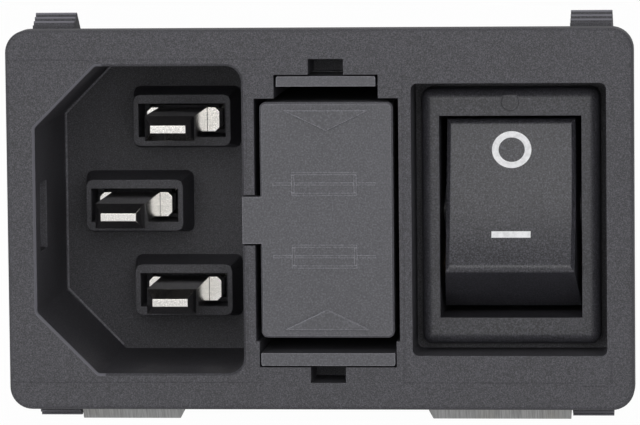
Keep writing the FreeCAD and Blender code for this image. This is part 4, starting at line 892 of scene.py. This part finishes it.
@dataclass
class Housing:
    """Flanged housing, rear cover, pins, contacts and earthing clips."""

    nodes: dict[str, bpy.types.Object]
    palette: Palette
    rings: RingTree
    detent_radius: float = 0.93 * MM
    detent_bead: float = 0.06 * MM
    detent_inset: float = 3.2 * MM
    mark_radius: float = 0.9 * MM
    mark_bead: float = 0.035 * MM
    # A thin lighter strip along the inlet floor's edge, standing for a painted highlight.
    floor_rim: FlatPath = ((-18.0, 12.1), (-22.64, 7.33), (-22.64, -7.33), (-18.0, -12.1))
    floor_rim_inner: FlatPath = ((-17.94, 11.94), (-22.48, 7.27), (-22.48, -7.27), (-17.94, -11.94))
    floor_rim_proud: float = 0.02 * MM
    floor_rim_steps: int = 12
    ray_start: float = 12.0 * MM

    def build(self) -> None:
        """Dresses the solids and adds the coined rims, the painted highlight strip at the floor's edge and
        the ejector marks.
        """
        dress(self.nodes, ["front_housing"], self.palette["housing_plastic"])
        dress(self.nodes, ["rear_cover"], self.palette["cover_plastic"])
        dress(self.nodes, [n for n in self.nodes if n.endswith("_pin")], self.palette["pin_metal"])
        brass = [n for n in self.nodes if n.endswith(("_link", "_contact", "_terminal"))]
        dress(self.nodes, brass, self.palette["contact_brass"])
        clips = [n for n in self.nodes if n.endswith("_clip")]
        dress(self.nodes, clips, self.palette["clip_metal"])
        self._detent_rims()
        self._ejector_marks()
        self._floor_rim()

    def _floor_rim(self) -> None:
        """Lighter strip where the inlet's floor meets its key side wall, a painted highlight."""
        spans = len(self.floor_rim) - 1

        def on_path(path: FlatPath, share: float) -> Vector:
            """Point of a path, in front of the floor.

            Args:
                path: Its corners in X and Z, in millimetres.
                share: Share of its spans, from 0 to 1.

            Returns:
                The point.
            """
            step = min(int(share * spans), spans - 1)
            start, end = path[step], path[step + 1]
            part = share * spans - step
            x, z = (a + (b - a) * part for a, b in zip(start, end))
            return Vector((x * MM, self.ray_start, z * MM))

        def outline(u: float, v: float) -> Vector:
            """Point of the rim: along the wall and away from it."""
            return on_path(self.floor_rim, u).lerp(on_path(self.floor_rim_inner, u), v)

        rim = inlay(
            "inlet_floor_rim",
            outline,
            (self.floor_rim_steps * spans, 2),
            False,
            tree_of(self.nodes["front_housing"]),
            Vector((0.0, 1.0, 0.0)),
            self.floor_rim_proud,
            self.palette["highlight_strip_plastic"],
        )
        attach(rim, Body.HOUSING.value)
        LOG.info("made %s", rim.name)

    def _detent_rims(self) -> None:
        """Coined rim round the detent hole of each tab, on both faces."""
        for finish, names in (
            ("pin_metal", ["earth_pin"]),
            ("contact_brass", [n for n in self.nodes if n.endswith(("outlet_contact", "_terminal"))]),
        ):
            places: list[tuple[Vector, Vector]] = []
            for name in names:
                places += self._tab_faces(name)
            rims = self.rings.rings(
                f"{finish}_detent_rims", places, self.detent_radius, self.detent_bead, self.palette[finish]
            )
            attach(rims, Body.HOUSING.value)
            LOG.info("made %s with %d rims", rims.name, len(places))

    def _tab_faces(self, name: str) -> list[tuple[Vector, Vector]]:
        """Centres and facings of the two ends of a tab's hole.

        Args:
            name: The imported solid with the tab.

        Returns:
            A centre and a facing for each face of the tab.
        """
        low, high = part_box(name)
        rear = [v.co for v in self.nodes[name].data.vertices if v.co.y > high.y - self.detent_inset]
        start = Vector(min(p[i] for p in rear) for i in range(3))
        end = Vector(max(p[i] for p in rear) for i in range(3))
        middle = (start + end) / 2
        middle.y = high.y - self.detent_inset
        thin = 0 if end.x - start.x < end.z - start.z else 2
        faces = []
        for side, level in ((-1.0, start[thin]), (1.0, end[thin])):
            centre = middle.copy()
            centre[thin] = level
            normal = Vector((0.0, 0.0, 0.0))
            normal[thin] = side
            faces.append((centre, normal))
        return faces

    def _ejector_marks(self) -> None:
        """Rings that the mould's ejector pins leave on the rear cover and the switch case."""
        back = Vector((0.0, 1.0, 0.0))
        for finish, name, columns, rows in (
            ("cover_plastic", "rear_cover", (0.12, 0.62), (0.14, 0.86)),
            ("case_plastic", "switch_case", (0.2, 0.8), (0.1, 0.25)),
        ):
            low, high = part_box(name)
            places = [
                (Vector((low.x + (high.x - low.x) * u, high.y, low.z + (high.z - low.z) * v)), back)
                for u in columns
                for v in rows
            ]
            marks = self.rings.rings(
                f"{name}_ejector_marks", places, self.mark_radius, self.mark_bead, self.palette[finish]
            )
            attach(marks, Body.HOUSING.value)
            LOG.info("made %s", marks.name)


@dataclass
class Drawer:
    """Fuse drawer with its two fuses and a moulded fuse sign over each."""

    nodes: dict[str, bpy.types.Object]
    palette: Palette
    sign_width: float = 5.2 * MM
    sign_height: float = 1.9 * MM
    sign_line: float = 0.24 * MM
    sign_lead: float = 1.5 * MM
    sign_relief: float = 0.05 * MM
    sign_centres: tuple[float, float] = (2.9 * MM, -2.9 * MM)
    sign_shift: float = 0.5 * MM
    ray_start: float = 1.0 * MM

    def build(self) -> None:
        """Dresses the solids and lays the signs on the drawer's face."""
        dress(self.nodes, ["fuse_drawer"], self.palette["drawer_plastic"])
        dress(self.nodes, [n for n in self.nodes if n.endswith("_cap")], self.palette["cap_metal"])
        dress(self.nodes, [n for n in self.nodes if n.endswith("_tube")], self.palette["fuse_glass"])
        dress(self.nodes, [n for n in self.nodes if n.endswith("_wire")], self.palette["fuse_wire"])
        face = tree_of(self.nodes["fuse_drawer"])
        for place, height in zip(("upper", "lower"), self.sign_centres):
            self._sign(f"{place}_fuse_sign", face, height)

    def _sign(self, name: str, face: BVHTree, height: float) -> None:
        """One fuse sign: a long box with a line through it.

        Args:
            name: Name of the sign.
            face: The drawer's surface.
            height: Level of its middle.
        """
        low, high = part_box("fuse_drawer")
        front = low.y - self.ray_start
        middle = (high.x + low.x) / 2 + self.sign_shift
        half_w, half_h, line = self.sign_width / 2, self.sign_height / 2, self.sign_line
        bars = {
            "top": ((-half_w, half_h - line), (half_w, half_h)),
            "bottom": ((-half_w, -half_h), (half_w, -half_h + line)),
            "left": ((-half_w, -half_h + line), (-half_w + line, half_h - line)),
            "right": ((half_w - line, -half_h + line), (half_w, half_h - line)),
            "wire": ((-half_w + line, -line / 2), (half_w - line, line / 2)),
            "left_lead": ((-half_w - self.sign_lead, -line / 2), (-half_w, line / 2)),
            "right_lead": ((half_w, -line / 2), (half_w + self.sign_lead, line / 2)),
        }
        for part, (start, end) in bars.items():

            def outline(
                u: float, v: float, a: tuple[float, float] = start, b: tuple[float, float] = end
            ) -> Vector:
                """Point of one bar of the sign."""
                x, z = middle + a[0] + (b[0] - a[0]) * u, height + a[1] + (b[1] - a[1]) * v
                return Vector((x, front, z))

            bar = inlay(
                f"{name}_{part}",
                outline,
                (2, 1),
                False,
                face,
                Vector((0.0, 1.0, 0.0)),
                self.sign_relief,
                self.palette["drawer_plastic"],
            )
            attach(bar, Body.DRAWER.value)
        LOG.info("made %s", name)


@dataclass
class Switch:
    """Switch case, rocker with its two marks, and the works inside."""

    nodes: dict[str, bpy.types.Object]
    palette: Palette
    pivot: Vector
    tilt: float = math.radians(16.0)
    ring_outer: float = 1.575 * MM
    ring_inner: float = 1.045 * MM
    ring_height: float = 3.705 * MM
    ring_rise: float = 0.93
    bar_length: float = 3.12 * MM
    bar_width: float = 0.53 * MM
    bar_height: float = -3.16 * MM
    mark_shift: float = 0.05 * MM
    ink_proud: float = 0.012 * MM
    start_reach: float = 12.0 * MM

    def build(self) -> None:
        """Dresses the solids and prints the marks."""
        dress(self.nodes, ["switch_case"], self.palette["case_plastic"])
        dress(self.nodes, ["rocker"], self.palette["rocker_plastic"])
        plungers = [n for n in self.nodes if n.endswith("_plunger")]
        dress(self.nodes, plungers, self.palette["plunger_plastic"])
        springs = [n for n in self.nodes if n.endswith("_spring")]
        dress(self.nodes, springs, self.palette["spring_steel"])
        bridges = [n for n in self.nodes if n.endswith("_bridge")]
        dress(self.nodes, bridges, self.palette["bridge_copper"])
        self._marks()

    def _marks(self) -> None:
        """Prints the ring and the bar on the rocker's dished face."""
        across = Vector((1.0, 0.0, 0.0))
        up = Vector((0.0, math.sin(self.tilt), math.cos(self.tilt)))
        inward = Vector((0.0, math.cos(self.tilt), -math.sin(self.tilt)))
        origin = self.pivot - inward * self.start_reach + across * self.mark_shift
        face = tree_of(self.nodes["rocker"])

        def ring(u: float, v: float) -> Vector:
            """Point of the ring.

            Args:
                u: Share of the way round.
                v: Share of the way from the inner edge to the outer.

            Returns:
                The point, in front of the face.
            """
            radius = self.ring_inner + (self.ring_outer - self.ring_inner) * v
            angle = 2 * math.pi * u
            return origin + across * radius * math.cos(angle) + up * (
                self.ring_height + self.ring_rise * radius * math.sin(angle)
            )

        def bar(u: float, v: float) -> Vector:
            """Point of the bar: along and across."""
            level = self.bar_height + self.bar_width * (v - 0.5)
            return origin + across * self.bar_length * (u - 0.5) + up * level

        marks = (("off_mark", ring, (72, 4), True), ("on_mark", bar, (12, 3), False))
        for name, outline, steps, closed in marks:
            mark = inlay(
                name, outline, steps, closed, face, inward, self.ink_proud, self.palette["mark_ink"]
            )
            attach(mark, Body.ROCKER.value)
            LOG.info("printed %s", name)


# ---------------------------------------------------------------- stage, lights, camera


@dataclass
class Stage:
    """Pale floor that sweeps up into a backdrop."""

    floor_level: float
    width: float = 4.0
    front: float = -1.2
    bend: float = 1.1
    top: float = 2.7
    bend_radius: float = 0.4
    bend_steps: int = 12
    shades: tuple[float, float] = (0.90, 0.93)
    fibre_size: float = 4.0 * MM
    seen_share: float = 0.98
    mirrored_share: float = 0.5

    def build(self) -> None:
        """Makes the sweep and its finish."""
        profile = [(self.front, 0.0), (self.bend, 0.0)]
        for step in range(1, self.bend_steps + 1):
            angle = math.pi / 2 * step / self.bend_steps
            rise = self.bend_radius * (1 - math.cos(angle))
            profile.append((self.bend + self.bend_radius * math.sin(angle), rise))
        profile.append((self.bend + self.bend_radius, self.top))
        half = self.width / 2
        points = []
        for depth, rise in profile:
            points.append((-half, depth, self.floor_level + rise))
            points.append((half, depth, self.floor_level + rise))
        faces = [(2 * i, 2 * i + 1, 2 * i + 3, 2 * i + 2) for i in range(len(profile) - 1)]
        mesh = bpy.data.meshes.new("backdrop")
        mesh.from_pydata(points, [], faces)
        mesh.polygons.foreach_set("use_smooth", [True] * len(mesh.polygons))
        mesh_object("backdrop", mesh, self._paper())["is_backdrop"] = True
        LOG.info("made the backdrop")

    def _paper(self) -> bpy.types.Material:
        """White paper that the camera and mirrors see as nearly white, with shadows kept.

        Returns:
            The new material.
        """
        surface = Surface("backdrop_paper")
        fibre = surface.noise(self.fibre_size, 4.0)
        dull, clean = ((shade, shade, shade, 1.0) for shade in self.shades)
        colour = surface.mix(surface.ramp(fibre, *NOISE_RANGE), dull, clean)
        paper = surface.add("ShaderNodeBsdfDiffuse", {"Color": colour})
        glow = surface.add("ShaderNodeEmission", {"Color": (1.0, 1.0, 1.0, 1.0), "Strength": 1.0})
        rays = surface.add("ShaderNodeLightPath").outputs
        mirrored = surface.maths("MULTIPLY", rays["Is Glossy Ray"], self.mirrored_share)
        seen = surface.maths("MAXIMUM", rays["Is Camera Ray"], mirrored)
        seen = surface.maths("MAXIMUM", seen, rays["Is Transmission Ray"])
        share = surface.maths("MULTIPLY", seen, self.seen_share)
        mixed = surface.add("ShaderNodeMixShader", {0: share, 1: paper.outputs[0], 2: glow.outputs[0]})
        return surface.finish_with(mixed.outputs[0])


@dataclass(frozen=True)
class Softbox:
    """One rectangular studio light."""

    name: str
    place: Place
    size: tuple[float, float]
    power: float

    def build(self, target: Vector) -> None:
        """Makes the light and turns it to a point.

        Args:
            target: The point.
        """
        data = bpy.data.lights.new(self.name, "AREA")
        data.shape = "RECTANGLE"
        data.size, data.size_y = self.size
        data.energy = self.power
        lamp = bpy.data.objects.new(self.name, data)
        bpy.context.scene.collection.objects.link(lamp)
        lamp.location = Vector(self.place)
        lamp.rotation_euler = (target - lamp.location).to_track_quat("-Z", "Y").to_euler()


@dataclass
class Studio:
    """Soft lights, the pale world and the camera."""

    centre: Vector
    world_strength: float = 0.20
    lights: tuple[Softbox, ...] = field(
        default_factory=lambda: (
            Softbox("key_light", (0.10, -0.84, 0.26), (1.20, 0.68), 5.2),
            Softbox("fill_light", (-0.60, -0.60, 0.10), (0.50, 0.60), 1.3),
            Softbox("top_light", (0.0, 0.10, 0.75), (1.10, 0.90), 2.0),
        )
    )
    camera_place: Place = (37.4 * MM, -402.4 * MM, 38.8 * MM)
    aim: Place = (0.112 * MM, -2.4 * MM, 0.62 * MM)
    seen_width: float = 50.83 * MM
    roll: float = math.radians(-0.59)
    clip: tuple[float, float] = (0.01, 10.0)

    def build(self) -> None:
        """Sets up the world, the lights and the camera."""
        self._world()
        for light in self.lights:
            light.build(self.centre)
        self._camera()
        bpy.context.scene.view_settings.view_transform = "Standard"

    def _world(self) -> None:
        """Pale world: white to the camera, softer as a light."""
        world = bpy.data.worlds.new("studio")
        world.use_nodes = True
        bpy.context.scene.world = world
        graph = Graph(world.node_tree)
        rays = graph.add("ShaderNodeLightPath").outputs
        seen = graph.maths("MAXIMUM", rays["Is Camera Ray"], rays["Is Transmission Ray"])
        strength = graph.ramp(seen, 0.0, 1.0, self.world_strength, 1.0)
        light = graph.add("ShaderNodeBackground", {"Color": (1.0, 1.0, 1.0, 1.0), "Strength": strength})
        graph.add("ShaderNodeOutputWorld", {"Surface": light.outputs[0]})

    def _camera(self) -> None:
        """Camera a little above and to the right of the module's axis."""
        data = bpy.data.cameras.new("camera")
        camera = bpy.data.objects.new("camera", data)
        bpy.context.scene.collection.objects.link(camera)
        camera.location = Vector(self.camera_place)
        target = Vector(self.aim)
        distance = (target - camera.location).length
        data.lens = data.sensor_width * distance / self.seen_width
        data.clip_start, data.clip_end = self.clip
        level = (target - camera.location).to_track_quat("-Z", "Y")
        camera.rotation_euler = (level @ Quaternion((0.0, 0.0, 1.0), self.roll)).to_euler()
        bpy.context.scene.camera = camera


# ---------------------------------------------------------------- the whole scene


def main() -> None:
    """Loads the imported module, dresses it and sets the stage."""
    logging.basicConfig(level=logging.INFO, format="%(name)s: %(message)s")
    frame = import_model()
    cad_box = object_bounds()
    nodes = frame["nodes"]
    palette = Palette()
    Housing(nodes, palette, RingTree("raised_rings")).build()
    Drawer(nodes, palette).build()
    pivot = next(Vector(joint["pos_m"]) for joint in frame["joints"] if joint["name"] == "rocker_tilt")
    Switch(nodes, palette, pivot).build()
    Stage(floor_level=cad_box[0].z - FLOOR_GAP).build()
    Studio(centre=(cad_box[0] + cad_box[1]) / 2).build()


if __name__ == "__main__":
    main()
